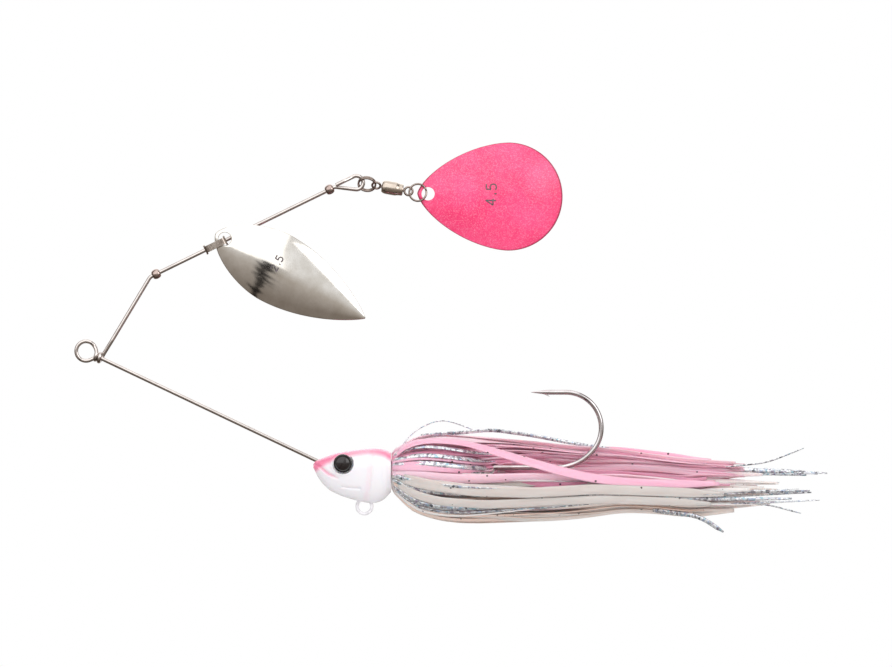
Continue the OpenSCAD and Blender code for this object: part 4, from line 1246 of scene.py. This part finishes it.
def studio():
    """Surroundings: white to the camera. To other rays they are pale before and behind the lure
    and darker round its edge and below, with one dark ragged upright shape in front of it, which
    the polished willow reflects."""
    world = bpy.data.worlds.new("studio")
    world.use_nodes = True
    tree = world.node_tree
    tree.nodes.clear()
    where = add_node(tree, "ShaderNodeTexCoord").outputs["Generated"]
    part = add_node(tree, "ShaderNodeSeparateXYZ", [(where, "Vector")])
    deep = add_node(tree, "ShaderNodeMath", [(part.outputs["Y"], 0)], operation="ABSOLUTE")
    ring = add_node(tree, "ShaderNodeValToRGB", [(deep.outputs["Value"], "Fac")],
                    stops=[(0.0, "#7A716A"), (0.22, "#857C75"), (0.46, "#ECECED"), (1.0, "#FFFFFF")])
    tall = add_node(tree, "ShaderNodeMapRange", [(part.outputs["Z"], "Value")],
                    [("From Min", -0.6), ("From Max", 0.45)])
    sky = add_node(tree, "ShaderNodeValToRGB", [(tall.outputs["Result"], "Fac")],
                   stops=[(0.0, "#8F857C"), (0.45, "#C4BDB6"), (0.7, "#F4F3F2"), (1.0, "#FFFFFF")])
    room = add_node(tree, "ShaderNodeMix", [(ring.outputs["Color"], 6), (sky.outputs["Color"], 7)],
                    [(0, 1.0)], data_type="RGBA", blend_type="MULTIPLY")
    leaned = add_node(tree, "ShaderNodeMapping", [(where, "Vector")], Rotation=(0, -0.515, 0))
    spot = add_node(tree, "ShaderNodeSeparateXYZ", [(leaned.outputs["Vector"], "Vector")])
    ragged = add_node(tree, "ShaderNodeTexNoise", [(where, "Vector")], Scale=14.0, Detail=3.0)
    edge = add_node(tree, "ShaderNodeMapRange", [(ragged.outputs["Fac"], "Value")],
                    [("To Min", -0.045), ("To Max", 0.165)])
    width = add_node(tree, "ShaderNodeMath",
                     [(spot.outputs["X"], 0), (edge.outputs["Result"], 1)], operation="ADD")
    narrow = add_node(tree, "ShaderNodeMath", [(width.outputs["Value"], 0)], operation="ABSOLUTE")
    over = add_node(tree, "ShaderNodeMath", [(spot.outputs["Z"], 0)], [(1, 0.04)],
                    operation="GREATER_THAN")
    behind = add_node(tree, "ShaderNodeMath", [(part.outputs["Y"], 0)], [(1, 0.0)],
                      operation="GREATER_THAN")
    clear = add_node(tree, "ShaderNodeMath", [(over.outputs["Value"], 0), (behind.outputs["Value"], 1)],
                     operation="ADD")
    total = add_node(tree, "ShaderNodeMath", [(narrow.outputs["Value"], 0), (clear.outputs["Value"], 1)],
                     operation="ADD")
    shape = add_node(tree, "ShaderNodeValToRGB", [(total.outputs["Value"], "Fac")],
                     stops=[(0.035, "#161416"), (0.055, "#FFFFFF")])
    dim = add_node(tree, "ShaderNodeMix", [(room.outputs[2], 6), (shape.outputs["Color"], 7)],
                   [(0, 1.0)], data_type="RGBA", blend_type="MULTIPLY")
    soft = add_node(tree, "ShaderNodeBackground", [(dim.outputs[2], "Color")], Strength=0.95)
    plain = add_node(tree, "ShaderNodeBackground", Strength=1.0, Color=(1, 1, 1, 1))
    ray = add_node(tree, "ShaderNodeLightPath")
    mixed = add_node(tree, "ShaderNodeMixShader", [(ray.outputs["Is Camera Ray"], 0),
                                                   (soft.outputs[0], 1), (plain.outputs[0], 2)])
    add_node(tree, "ShaderNodeOutputWorld", [(mixed.outputs[0], "Surface")])
    return world


class LURE_OT_stage(bpy.types.Operator):
    """Lays the paper floor and sets the lights, the surroundings and the camera"""
    bl_idname = "lure.stage"
    bl_label = "Stage"

    def execute(self, context):
        scene = context.scene
        mesh = bpy.data.meshes.new("paper_floor")
        corners = [(x * FLOOR_HALF, y * FLOOR_HALF, FLOOR_Z)
                   for x, y in ((-1, -1), (1, -1), (1, 1), (-1, 1))]
        mesh.from_pydata(corners, [], [(0, 1, 2, 3)])
        mesh.materials.append(pale_floor())
        floor = bpy.data.objects.new("paper_floor", mesh)
        scene.collection.objects.link(floor)
        floor.visible_glossy = False

        scene.world = studio()

        for name, place, size, power in LAMPS:
            lamp = bpy.data.lights.new(name, "AREA")
            lamp.shape, lamp.size, lamp.energy = "SQUARE", size, power
            light = bpy.data.objects.new(name, lamp)
            light.location = place
            light.rotation_euler = (AIM - Vector(place)).to_track_quat("-Z", "Y").to_euler()
            light.visible_camera = False
            scene.collection.objects.link(light)

        lens = bpy.data.cameras.new("camera")
        lens.type, lens.ortho_scale, lens.clip_start, lens.clip_end = "ORTHO", 0.19624, 0.01, 20.0
        camera = bpy.data.objects.new("camera", lens)
        camera.location = (0.0792, -0.4, 0.00385)
        camera.rotation_euler = (math.pi / 2, 0, 0)
        scene.collection.objects.link(camera)
        scene.camera = camera
        scene.view_settings.view_transform = "Standard"
        return {"FINISHED"}


# ------------------------------------------------------------------ add-on

BUILDERS = (LURE_OT_frame_wire, LURE_OT_beads, LURE_OT_split_rings, LURE_OT_swivel, LURE_OT_blades,
            LURE_OT_head, LURE_OT_eyes, LURE_OT_eyelet, LURE_OT_hook, LURE_OT_band, LURE_OT_skirt,
            LURE_OT_stage)


class LURE_PT_panel(bpy.types.Panel):
    """Lists the builder's steps and the sizes they read"""
    bl_idname = "LURE_PT_panel"
    bl_label = "Spinnerbait"
    bl_space_type = "VIEW_3D"
    bl_region_type = "UI"
    bl_category = "Lure"

    def draw(self, context):
        column = self.layout.column(align=True)
        for builder in BUILDERS:
            column.operator(builder.bl_idname)
        for group in ("lure_wire", "lure_blades", "lure_body", "lure_colours"):
            box = self.layout.box()
            sizes = getattr(context.scene, group)
            for key in sizes.bl_rna.properties.keys():
                if key not in ("rna_type", "name"):
                    box.prop(sizes, key)


GROUPS = (("lure_wire", LureWireSizes), ("lure_blades", LureBladeSizes), ("lure_body", LureBodySizes),
          ("lure_colours", LureColours))


def register():
    for _, group in GROUPS:
        bpy.utils.register_class(group)
    for cls in (*BUILDERS, LURE_PT_panel):
        bpy.utils.register_class(cls)
    for name, group in GROUPS:
        setattr(bpy.types.Scene, name, bpy.props.PointerProperty(type=group))


def unregister():
    for name, _ in GROUPS:
        delattr(bpy.types.Scene, name)
    for cls in reversed((*[group for _, group in GROUPS], *BUILDERS, LURE_PT_panel)):
        bpy.utils.unregister_class(cls)


def main():
    register()
    for builder in BUILDERS:
        getattr(bpy.ops.lure, builder.bl_idname.split(".")[1])()


if __name__ == "__main__":
    main()
